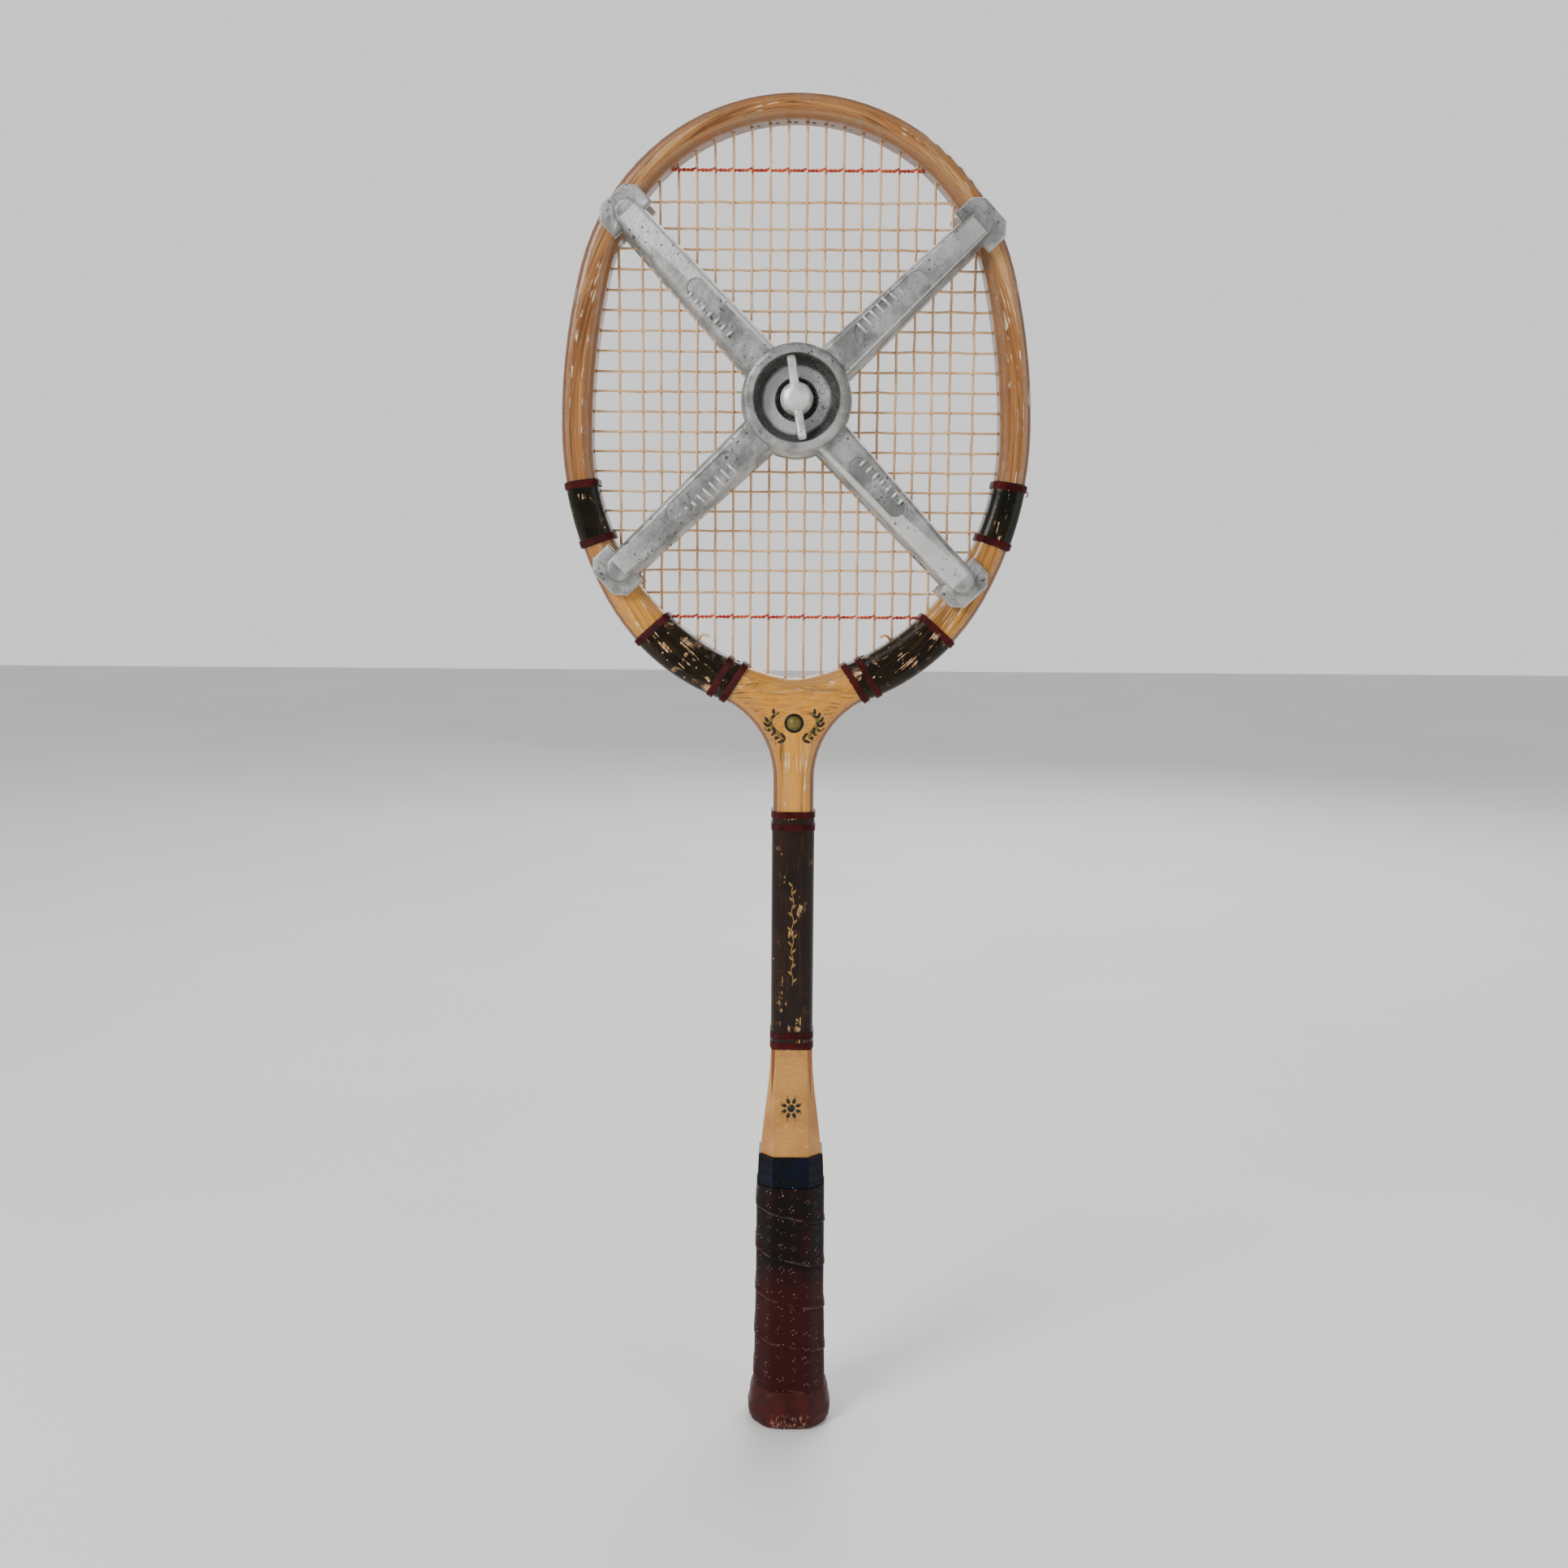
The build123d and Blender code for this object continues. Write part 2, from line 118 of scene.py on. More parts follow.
# settings that many nodes share: sums, a soft step, a mix of two colours, noise with a fourth axis
PLUS = {"operation": "ADD"}
MINUS = {"operation": "SUBTRACT"}
TIMES = {"operation": "MULTIPLY"}
TIMES_PLUS = {"operation": "MULTIPLY_ADD"}
LARGER = {"operation": "MAXIMUM"}
SMOOTH = {"interpolation_type": "SMOOTHSTEP"}
COLOURS = {"data_type": "RGBA", "out": 2}
IN_DEPTH = {"noise_dimensions": "4D"}


def add(tree, kind, inputs, out=0, **settings):
    """Adds a node with its settings, constants and links, and gives one of its outputs."""
    node = tree.nodes.new("ShaderNode" + kind)
    for name, value in settings.items():
        setattr(node, name, value)
    for socket, value in inputs.items() if isinstance(inputs, dict) else enumerate(inputs):
        if isinstance(value, bpy.types.NodeSocket):
            tree.links.new(value, node.inputs[socket])
        else:
            node.inputs[socket].default_value = value
    return node.outputs[out]


def tint(tree, under, over, pattern, start=None, end=None, share=None):
    """Lays one colour over another as a pattern goes from start to end, up to a share of full strength."""
    if start is not None:
        pattern = add(tree, "MapRange", [pattern, start, end], **SMOOTH)
    if share is not None:
        pattern = add(tree, "Math", [pattern, share], **TIMES)
    return add(tree, "Mix", {0: pattern, 6: under, 7: over}, **COLOURS)


def new_material(name):
    """Starts a material: gives it with its node tree, its shader and the object's own coordinates."""
    made = bpy.data.materials.new(name)
    made.use_nodes = True
    tree = made.node_tree
    shader = tree.nodes["Principled BSDF"]
    place = add(tree, "TexCoord", [], out=3)
    return made, tree, shader, place


def finish_shader(tree, shader, colour, roughness, height=None, depth_mm=0.1, shine=0.4, **constants):
    """Joins colour, roughness and bump to the shader and sets its constants."""
    tree.links.new(colour, shader.inputs["Base Color"])
    tree.links.new(roughness, shader.inputs["Roughness"])
    if height is not None:
        bump = add(tree, "Bump", {"Height": height, "Distance": depth_mm * MM, "Strength": 1.0})
        tree.links.new(bump, shader.inputs["Normal"])
    shader.inputs["Specular IOR Level"].default_value = shine
    for socket, value in constants.items():
        shader.inputs[socket.replace("_", " ")].default_value = value


def along_the_bow(tree, place):
    """Coordinates that run with the grain: round the hoop in the head, straight up in the shaft.

    Gives the vector, whose short axis is stretched along the grain, and the depth for the fourth axis."""
    x, y, z = (add(tree, "SeparateXYZ", [place], out=i) for i in range(3))
    height = add(tree, "Math", [z, HEAD_LEVEL], **MINUS)
    stretch = add(tree, "Math", [height, HEAD_HALF / (HEAD_TOP - HEAD_LEVEL)], **TIMES)
    flat = add(tree, "CombineXYZ", [x, stretch, 0.0])
    reach = add(tree, "VectorMath", [flat], out=1, operation="LENGTH")
    heading = add(tree, "VectorMath", [flat], operation="NORMALIZE")
    round_way = add(tree, "VectorMath", [heading, (0.0035, 0.0035, 0.0)], operation="MULTIPLY")
    hx, hz = (add(tree, "SeparateXYZ", [round_way], out=i) for i in (0, 1))
    hoop = add(tree, "CombineXYZ", [hx, hz, reach])
    straight_z = add(tree, "Math", [z, 0.035], **TIMES)
    shaft = add(tree, "CombineXYZ", [x, straight_z, 0.0])
    in_head = add(tree, "MapRange", [z, 0.376, 0.402], **SMOOTH)
    return tint(tree, shaft, hoop, in_head), y, z


def bow_wood(name, tan, brown, dark, pale, wear=1.0, red=0.0):
    """Steam-bent ash under old varnish: long light and dark streaks round the bend, honey at the throat and
    browner over the head, with pale scratches where the varnish has gone."""
    made, tree, shader, place = new_material(name)
    grain, depth, z = along_the_bow(tree, place)
    w = add(tree, "Math", [depth, 260.0], **TIMES)
    fine = add(tree, "TexNoise", [grain, w, 1 / (0.5 * MM), 5, 0.65], **IN_DEPTH)
    below, under = (add(tree, "Math", [w, shift], **PLUS) for shift in (5.0, 9.0))
    middle = add(tree, "TexNoise", [grain, below, 1 / (1.5 * MM), 3, 0.55], **IN_DEPTH)
    broad = add(tree, "TexNoise", [grain, under, 1 / (3.6 * MM), 3, 0.55], **IN_DEPTH)
    patch = add(tree, "TexNoise", [place, 2.0, 1 / (30.0 * MM), 3, 0.55], **IN_DEPTH)
    drift = add(tree, "Math", [add(tree, "Math", [patch, 0.5], **MINUS), 0.08], **TIMES)
    up = add(tree, "Math", [z, drift], **PLUS)
    aged = add(tree, "MapRange", [up, 0.43, 0.5], **SMOOTH)
    body = tint(tree, linear(tan), linear(brown), aged)
    body = tint(tree, body, linear(dark), broad, 0.5, 0.64, 0.6)
    light = add(tree, "Math", [add(tree, "MapRange", [broad, 0.47, 0.36], **SMOOTH), 0.55], **TIMES)
    light = add(tree, "Math", [light, add(tree, "Math", [aged, 0.6, 0.4], **TIMES_PLUS)], **TIMES)
    body = tint(tree, body, linear(pale), light)
    streaks = add(tree, "Math", [aged, 0.3, 0.4], **TIMES_PLUS)
    body = tint(tree, body, linear(dark), middle, 0.51, 0.64, streaks)
    body = tint(tree, body, linear(dark), fine, 0.52, 0.68, streaks)
    below, under = (add(tree, "Math", [w, shift], **PLUS) for shift in (31.0, 77.0))
    pale_line = add(tree, "TexNoise", [grain, below, 1 / (0.8 * MM), 2, 0.55], **IN_DEPTH)
    pale_place = add(tree, "TexNoise", [place, 5.0, 1 / (9.0 * MM), 4, 0.55], **IN_DEPTH)
    scratch = add(tree, "Math", [add(tree, "MapRange", [pale_line, 0.57, 0.63], **SMOOTH),
                                 add(tree, "MapRange", [pale_place, 0.48, 0.58], **SMOOTH)], **TIMES)
    scratch = add(tree, "Math", [scratch, wear], **TIMES)
    body = tint(tree, body, linear("#EBD6B2"), scratch)
    gouge_line = add(tree, "TexNoise", [grain, under, 1 / (0.7 * MM), 2, 0.55], **IN_DEPTH)
    gouge_place = add(tree, "TexNoise", [place, 9.0, 1 / (12.0 * MM), 3, 0.55], **IN_DEPTH)
    gouge = add(tree, "Math", [add(tree, "MapRange", [gouge_line, 0.62, 0.68], **SMOOTH),
                               add(tree, "MapRange", [gouge_place, 0.5, 0.58], **SMOOTH)], **TIMES)
    body = tint(tree, body, linear("#3A2010"), gouge, share=0.85)
    body = tint(tree, body, linear("#4A160D"), red)
    dull = add(tree, "Math", [patch, 0.25, 0.16], **TIMES_PLUS)
    roughness = add(tree, "Math", [dull, add(tree, "Math", [scratch, 0.3], **TIMES)], **PLUS)
    height = add(tree, "Math", [add(tree, "Math", [fine, 0.4], **TIMES),
                                add(tree, "Math", [scratch, gouge], **PLUS)], **MINUS)
    finish_shader(tree, shader, body, roughness, height, 0.14, Coat_Weight=0.35, Coat_Roughness=0.14)
    return made


def handle_wood():
    """Pale ash cheeks under clear varnish: straight grain up the handle, fine scratches, a warm cast."""
    made, tree, shader, place = new_material("varnished_ash_cheeks")
    grain, depth, _ = along_the_bow(tree, place)
    w = add(tree, "Math", [depth, 260.0], **TIMES)
    fine = add(tree, "TexNoise", [grain, w, 1 / (0.6 * MM), 5, 0.6], **IN_DEPTH)
    broad = add(tree, "TexNoise", [grain, w, 1 / (3.2 * MM), 2, 0.55], **IN_DEPTH)
    patch = add(tree, "TexNoise", [place, 4.0, 1 / (22.0 * MM), 3, 0.55], **IN_DEPTH)
    body = tint(tree, linear("#C38C3E"), linear("#A86F2C"), patch, 0.35, 0.65)
    body = tint(tree, body, linear("#8E5A22"), broad, 0.45, 0.62, 0.5)
    body = tint(tree, body, linear("#6B3F18"), fine, 0.53, 0.68, 0.45)
    marks = add(tree, "TexNoise", [place, 11.0, 1 / (3.5 * MM), 4, 0.55], **IN_DEPTH)
    mark = add(tree, "MapRange", [marks, 0.66, 0.72], **SMOOTH)
    body = tint(tree, body, linear("#E8CB98"), mark, share=0.6)
    roughness = add(tree, "Math", [patch, 0.2, 0.2], **TIMES_PLUS)
    finish_shader(tree, shader, body, roughness, fine, 0.05, Coat_Weight=0.35, Coat_Roughness=0.14)
    return made


def chipped_wrap(name, dark, mid, chip, streak_colour, chips, dot_share):
    """Bound tape under black lacquer: glossy where whole, with long chips and specks down to pale tape."""
    made, tree, shader, place = new_material(name)
    grain, depth, _ = along_the_bow(tree, place)
    w = add(tree, "Math", [depth, 120.0], **TIMES)
    cloud = add(tree, "TexNoise", [place, 1.0, 1 / (14.0 * MM), 4, 0.55], **IN_DEPTH)
    streak = add(tree, "TexNoise", [grain, w, 1 / (0.7 * MM), 4, 0.55], **IN_DEPTH)
    body = tint(tree, linear(dark), linear(mid), cloud, 0.4, 0.65)
    body = tint(tree, body, linear(streak_colour), streak, 0.52, 0.72, 0.45)
    below = add(tree, "Math", [w, 13.0], **PLUS)
    chip_long = add(tree, "TexNoise", [grain, below, 1 / (1.0 * MM), 5, 0.6], **IN_DEPTH)
    chip_zone = add(tree, "TexNoise", [place, 21.0, 1 / (8.0 * MM), 3, 0.55], **IN_DEPTH)
    mixed = add(tree, "Math", [chip_zone, 0.75, add(tree, "Math", [chip_long, 0.6], **TIMES)], **TIMES_PLUS)
    flake = add(tree, "MapRange", [mixed, chips, chips + 0.016], **SMOOTH)
    cells = add(tree, "TexVoronoi", {"Vector": place, "Scale": 1 / (4.6 * MM)}, feature="F1")
    dots = add(tree, "MapRange", [cells, 0.08, 0.13, 1, 0], **SMOOTH)
    few = add(tree, "MapRange", [cloud, dot_share, dot_share + 0.04], **SMOOTH)
    dots = add(tree, "Math", [dots, few], **TIMES)
    bare = add(tree, "Math", [flake, dots], **LARGER)
    tone = add(tree, "TexNoise", [place, 3.0, 1 / (1.6 * MM), 3, 0.55], **IN_DEPTH)
    chip_colour = tint(tree, linear(chip), linear("#8A5F38"), tone, 0.35, 0.65)
    body = tint(tree, body, chip_colour, bare)
    roughness = add(tree, "Math", [cloud, 0.2, 0.12], **TIMES_PLUS)
    roughness = add(tree, "Math", [roughness, add(tree, "Math", [bare, 0.4], **TIMES)], **PLUS)
    height = add(tree, "Math", [add(tree, "Math", [streak, 0.3], **TIMES), bare], **MINUS)
    finish_shader(tree, shader, body, roughness, height, 0.2, shine=0.16, Coat_Weight=0.12,
                  Coat_Roughness=0.05)
    return made


def waxed_thread():
    """Dark red waxed thread: a soft sheen with a twist that breaks the light."""
    made, tree, shader, place = new_material("waxed_whipping_thread")
    wander = add(tree, "TexNoise", [place, 2.0, 1 / (6.0 * MM), 2, 0.55], **IN_DEPTH)
    body = tint(tree, linear("#2A0203"), linear("#470608"), wander, 0.35, 0.65)
    fibre = add(tree, "TexNoise", [place, 7.0, 1 / (0.25 * MM), 2, 0.55], **IN_DEPTH)
    body = tint(tree, body, linear("#6A1C18"), fibre, 0.5, 0.7, 0.3)
    roughness = add(tree, "Math", [wander, 0.3, 0.3], **TIMES_PLUS)
    finish_shader(tree, shader, body, roughness, fibre, 0.06, shine=0.2)
    return made


def natural_gut():
    """Natural gut: a warm translucent tan, paler at the rub marks, with a slightly waxy shine."""
    made, tree, shader, place = new_material("natural_gut_string")
    patch = add(tree, "TexNoise", [place, 1.0, 1 / (18.0 * MM), 3, 0.55], **IN_DEPTH)
    fine = add(tree, "TexNoise", [place, 4.0, 1 / (0.8 * MM), 3, 0.55], **IN_DEPTH)
    body = tint(tree, linear("#CDA070"), linear("#E0BC92"), patch, 0.35, 0.65)
    body = tint(tree, body, linear("#A8784C"), fine, 0.5, 0.7, 0.35)
    roughness = add(tree, "Math", [fine, 0.2, 0.3], **TIMES_PLUS)
    finish_shader(tree, shader, body, roughness, fine, 0.04, Subsurface_Weight=0.12,
                  Subsurface_Scale=0.6 * MM)
    return made


def trebling_thread():
    """Red and straw twisted silk: brick red that turns to orange where it has faded."""
    made, tree, shader, place = new_material("twisted_trebling_silk")
    patch = add(tree, "TexNoise", [place, 1.0, 1 / (7.0 * MM), 3, 0.55], **IN_DEPTH)
    body = tint(tree, linear("#9A2417"), linear("#C4552F"), patch, 0.38, 0.62)
    fine = add(tree, "TexNoise", [place, 6.0, 1 / (0.5 * MM), 2, 0.55], **IN_DEPTH)
    finish_shader(tree, shader, body, add(tree, "Math", [fine, 0.2, 0.45], **TIMES_PLUS), fine, 0.05)
    return made


def navy_tape():
    """Glossy navy tape wound over itself: near-black blue, sharp highlights, faint turns, white chips."""
    made, tree, shader, place = new_material("glossy_navy_tape")
    z = add(tree, "SeparateXYZ", [place], out=2)
    wander = add(tree, "TexNoise", [place, 1.0, 1 / (8.0 * MM), 2, 0.55], **IN_DEPTH)
    sway = add(tree, "Math", [wander, 2.0], **TIMES)
    turns = add(tree, "Math", [z, tau / (5.6 * MM), sway], **TIMES_PLUS)
    turns = add(tree, "Math", [turns], operation="SINE")
    body = tint(tree, linear("#000208"), linear("#020720"), wander, 0.35, 0.7)
    scuffs = add(tree, "TexNoise", [place, 8.0, 1 / (1.2 * MM), 4, 0.55], **IN_DEPTH)
    scuff = add(tree, "MapRange", [scuffs, 0.7, 0.76], **SMOOTH)
    body = tint(tree, body, linear("#9A9DA4"), scuff)
    roughness = add(tree, "Math", [wander, 0.1, 0.06], **TIMES_PLUS)
    height = add(tree, "Math", [wander, 0.8, add(tree, "Math", [turns, 0.3], **TIMES)], **TIMES_PLUS)
    finish_shader(tree, shader, body, roughness, height, 0.2, shine=0.12)
    return made


def grip_leather():
    """Perforated calf strip: black with handling above, oxblood below, pin holes in loose clusters darkened
    as painted shade and dusty in part, and a grey worn line along the lap."""
    made, tree, shader, place = new_material("perforated_oxblood_calf")
    uv = add(tree, "UVMap", [], uv_map="strip")
    z = add(tree, "SeparateXYZ", [place], out=2)
    cloud = add(tree, "TexNoise", [place, 2.0, 1 / (16.0 * MM), 4, 0.55], **IN_DEPTH)
    pores = add(tree, "TexVoronoi", {"Vector": place, "Scale": 1 / (0.9 * MM)}, feature="F1")
    drift = add(tree, "Math", [add(tree, "Math", [cloud, 0.5], **MINUS), 0.03], **TIMES)
    level = add(tree, "Math", [z, drift], **PLUS)
    body = tint(tree, linear("#2B0403"), linear("#080201"), level, 0.076, 0.092)
    body = tint(tree, body, linear("#3C0906"), cloud, 0.5, 0.75, 0.4)
    sway = add(tree, "TexNoise", [place, 19.0, 1 / (9.0 * MM), 2, 0.55], out=1, **IN_DEPTH)
    sway = add(tree, "VectorMath", [sway, (0.009, 0.009, 0.0)], operation="MULTIPLY")
    loose = add(tree, "VectorMath", [uv, sway], operation="ADD")
    holes = None
    for shift_u, shift_v in ((0.0, 0.0), (1.3, 1.1), (-1.2, 1.3), (0.2, 2.5)):
        moved = add(tree, "VectorMath", [loose, (shift_u * MM, shift_v * MM, 0)], operation="ADD")
        cell = add(tree, "VectorMath", [moved, (7.4 * MM, 6.8 * MM, 1)], operation="MODULO")
        centred = add(tree, "VectorMath", [cell, (3.7 * MM, 3.4 * MM, 0)], operation="DISTANCE", out=1)
        spot = add(tree, "MapRange", [centred, 0.22 * MM, 0.46 * MM, 1, 0], **SMOOTH)
        holes = spot if holes is None else add(tree, "Math", [holes, spot], **LARGER)
    dust = add(tree, "TexNoise", [place, 9.0, 1 / (3.2 * MM), 2, 0.55], **IN_DEPTH)
    dusty = add(tree, "MapRange", [dust, 0.42, 0.54], **SMOOTH)
    dusty = add(tree, "Math", [holes, dusty], **TIMES)
    # painted shade: the pin holes are darkened as though shaded inside
    body = tint(tree, body, linear("#050101"), holes, share=0.7)
    body = tint(tree, body, linear("#8E6258"), dusty, share=0.8)
    lap = add(tree, "Attribute", [], out=2, attribute_name="lap")
    rubbing = add(tree, "TexNoise", [place, 14.0, 1 / (5.0 * MM), 4, 0.55], **IN_DEPTH)
    worn = add(tree, "MapRange", [rubbing, 0.44, 0.58], **SMOOTH)
    worn = add(tree, "Math", [lap, worn], **TIMES)
    body = tint(tree, body, linear("#5C4A45"), worn, share=0.55)
    roughness = add(tree, "Math", [cloud, 0.25, 0.38], **TIMES_PLUS)
    height = add(tree, "Math", [add(tree, "Math", [pores, 0.2], **TIMES), holes], **MINUS)
    finish_shader(tree, shader, body, roughness, height, 0.22, shine=0.14)
    return made


def cuff_leather():
    """Oxblood leather stretched over the butt: fine creases, worn pink at the heel."""
    made, tree, shader, place = new_material("worn_butt_leather")
    x, z = (add(tree, "SeparateXYZ", [place], out=i) for i in (0, 2))
    cloud = add(tree, "TexNoise", [place, 2.0, 1 / (9.0 * MM), 4, 0.55], **IN_DEPTH)
    flat = add(tree, "VectorMath", [place, (1, 1, 3)], operation="MULTIPLY")
    crease = add(tree, "TexNoise", [flat, 5.0, 1 / (6.0 * MM), 5, 0.55], **IN_DEPTH)
    body = tint(tree, linear("#280705"), linear("#421009"), cloud, 0.35, 0.65)
    upright = add(tree, "VectorMath", [place, (2.4, 2.4, 0.8)], operation="MULTIPLY")
    rubbing = add(tree, "TexNoise", [upright, 8.0, 1 / (2.6 * MM), 5, 0.55], **IN_DEPTH)
    rub = add(tree, "MapRange", [rubbing, 0.5, 0.6], **SMOOTH)
    heel = add(tree, "MapRange", [z, 0.006, 0.0105, 1, 0], **SMOOTH)
    rub = add(tree, "Math", [rub, heel], **TIMES)
    aside = add(tree, "Math", [x], operation="ABSOLUTE")
    in_middle = add(tree, "MapRange", [aside, 0.007, 0.013, 1, 0], **SMOOTH)
    rub = add(tree, "Math", [rub, in_middle], **TIMES)
    body = tint(tree, body, linear("#A9756A"), rub, share=0.8)
    roughness = add(tree, "Math", [cloud, 0.25, 0.36], **TIMES_PLUS)
    finish_shader(tree, shader, body, roughness, crease, 0.14, shine=0.2)
    return made


def cast_alloy(name, bright, dull, grime, rough, metal, axis=None):
    """Sand-cast aluminium: pitted grey skin, brighter on its edges as rubbed metal and as a painted
    highlight, with dark marks in the pits, painted shade on the wall of the cup and in the nut's well, and
    a painted lighter ring on its floor."""
    made, tree, shader, place = new_material(name)
    x, y, z = (add(tree, "SeparateXYZ", [place], out=i) for i in range(3))
    cloud = add(tree, "TexNoise", [place, 3.0, 1 / (14.0 * MM), 4, 0.55], **IN_DEPTH)
    grit = add(tree, "TexNoise", [place, 1.0, 1 / (0.9 * MM), 4, 0.65], **IN_DEPTH)
    lumps = add(tree, "TexNoise", [place, 7.0, 1 / (4.0 * MM), 3, 0.55], **IN_DEPTH)
    body = tint(tree, linear(bright), linear(dull), cloud, 0.38, 0.62)
    body = tint(tree, body, linear(dull), lumps, 0.52, 0.66, 0.35)
    body = tint(tree, body, linear(dull), grit, 0.52, 0.72, 0.4)
    worn_edge_and_highlight = add(tree, "NewGeometry", [], out=7)
    # wear and painted highlight: edges are lightened by pointiness, partly as rubbed metal and partly as a
    # painted highlight
    body = tint(tree, body, linear("#E4E4E2"), worn_edge_and_highlight, 0.52, 0.6, 0.6)
    pits = add(tree, "TexNoise", [place, 15.0, 1 / (2.0 * MM), 5, 0.55], **IN_DEPTH)
    regions = add(tree, "TexNoise", [place, 25.0, 1 / (20.0 * MM), 2, 0.55], **IN_DEPTH)
    pit = add(tree, "Math", [add(tree, "MapRange", [pits, 0.6, 0.66], **SMOOTH),
                             add(tree, "MapRange", [regions, 0.46, 0.56], **SMOOTH)], **TIMES)
    body = tint(tree, body, linear(grime), pit, share=0.85)
    if axis is not None:        # the wall of the cup, the nut's well and the floor between, in metres
        rise = add(tree, "Math", [z, axis], **MINUS)
        flat = add(tree, "CombineXYZ", [x, rise, 0.0])
        reach = add(tree, "VectorMath", [flat], out=1, operation="LENGTH")
        wall = add(tree, "Math", [add(tree, "MapRange", [reach, 0.0163, 0.0178], **SMOOTH),
                                  add(tree, "MapRange", [reach, 0.0216, 0.0206], **SMOOTH)], **TIMES)
        wall = add(tree, "Math", [wall, add(tree, "MapRange", [y, -0.0243, -0.0225], **SMOOTH)], **TIMES)
        well = add(tree, "Math", [add(tree, "MapRange", [reach, 0.0108, 0.01], **SMOOTH),
                                  add(tree, "MapRange", [y, -0.0135, -0.0125], **SMOOTH)], **TIMES)
        front_side = add(tree, "MapRange", [y, -0.001, -0.004], **SMOOTH)
        # painted shade: the cup's wall and the nut's well are darkened, broken up by the grit noise, on the
        # front casting only
        painted_cup_shade = add(tree, "Math", [add(tree, "Math", [wall, well], **LARGER),
                                  add(tree, "MapRange", [grit, 0.25, 0.55], **SMOOTH)], **TIMES)
        painted_cup_shade = add(tree, "Math", [painted_cup_shade, front_side], **TIMES)
        # painted light: a lighter ring on the cup's floor between the nut's well and the wall
        painted_cup_floor_light = add(tree, "Math", [add(tree, "MapRange", [reach, 0.0106, 0.0112], **SMOOTH),
                                        add(tree, "MapRange", [reach, 0.0165, 0.0155], **SMOOTH)], **TIMES)
        painted_cup_floor_light = add(tree, "Math", [add(tree, "Math", [painted_cup_floor_light, front_side], **TIMES),
                                        add(tree, "MapRange", [y, -0.016, -0.0145], **SMOOTH)], **TIMES)
        # the pale tint of the painted light on the cup's floor
        body = tint(tree, body, linear("#D3D7D8"), painted_cup_floor_light, share=0.7)
        # the dark brown-grey of the painted shade in the cup
        body = tint(tree, body, linear("#2C2520"), painted_cup_shade, share=0.85)
    roughness = add(tree, "Math", [grit, 0.3, rough], **TIMES_PLUS)
    height = add(tree, "Math", [add(tree, "Math", [grit, 0.5], **TIMES), lumps], **PLUS)
    height = add(tree, "Math", [height, pit], **MINUS)
    finish_shader(tree, shader, body, roughness, height, 0.45, shine=0.5, Metallic=metal)
    return made


def dull_steel():
    """Old steel: dark grey-brown with a thin even rust bloom."""
    made, tree, shader, place = new_material("dull_steel")
    cloud = add(tree, "TexNoise", [place, 3.0, 1 / (3.0 * MM), 4, 0.55], **IN_DEPTH)
    body = tint(tree, linear("#4E4B48"), linear("#3A2A20"), cloud, 0.4, 0.66)
    roughness = add(tree, "Math", [cloud, 0.3, 0.35], **TIMES_PLUS)
    finish_shader(tree, shader, body, roughness, cloud, 0.1, Metallic=0.9)
    return made


def printed(name, ink, second):
    """Transfer print under varnish: flat ink broken by tiny gaps where it has worn. It also gives the
    painted shade in the string holes.
    """
    made, tree, shader, place = new_material(name)
    worn = add(tree, "TexNoise", [place, 4.0, 1 / (1.1 * MM), 4, 0.55], **IN_DEPTH)
    body = tint(tree, linear(ink), linear(second), worn, 0.5, 0.7)
    finish_shader(tree, shader, body, add(tree, "Math", [worn, 0.2, 0.3], **TIMES_PLUS))
    return made


def plain_floor():
    """Matt off-white ground."""
    made, tree, shader, place = new_material("pale_floor_paint")
    cloud = add(tree, "TexNoise", [place, 1.0, 1 / (400.0 * MM), 2, 0.55], **IN_DEPTH)
    body = tint(tree, linear("#E9E8E6"), linear("#E4E3E1"), cloud, 0.3, 0.7)
    finish_shader(tree, shader, body, add(tree, "Math", [cloud, 0.1, 0.55], **TIMES_PLUS))
    return made


# ---- pieces ------------------------------------------------------------------------------------------
def link(name, mesh, material, body, replaced=()):
    """Puts a finished mesh in the scene on its body and hides the parts that it replaces."""
    piece = bpy.data.objects.new(name, mesh)
    bpy.context.scene.collection.objects.link(piece)
    mesh.materials.clear()
    mesh.materials.append(material)
    for polygon in mesh.polygons:
        polygon.use_smooth = True
    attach(piece, body)
    if replaced:
        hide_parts(*replaced)
    return piece


def tubes(paths, radius, sides=3, smooth=4, closed=False):
    """One mesh of round tubes, each along a smooth line through its points."""
    curve = bpy.data.curves.new("lines", "CURVE")
    curve.dimensions = "3D"
    curve.bevel_depth = radius
    curve.bevel_resolution = sides - 2
    curve.resolution_u = smooth
    curve.use_fill_caps = not closed
    for path in paths:
        spline = curve.splines.new("BEZIER")
        spline.bezier_points.add(len(path) - 1)
        for knot, point in zip(spline.bezier_points, path):
            knot.co = point
            knot.handle_left_type = knot.handle_right_type = "AUTO"
        spline.use_cyclic_u = closed
    holder = bpy.data.objects.new("lines", curve)
    bpy.context.scene.collection.objects.link(holder)
    bpy.context.view_layer.update()
    mesh = bpy.data.meshes.new_from_object(holder.evaluated_get(bpy.context.evaluated_depsgraph_get()))
    bpy.data.objects.remove(holder)
    bpy.data.curves.remove(curve)
    return mesh


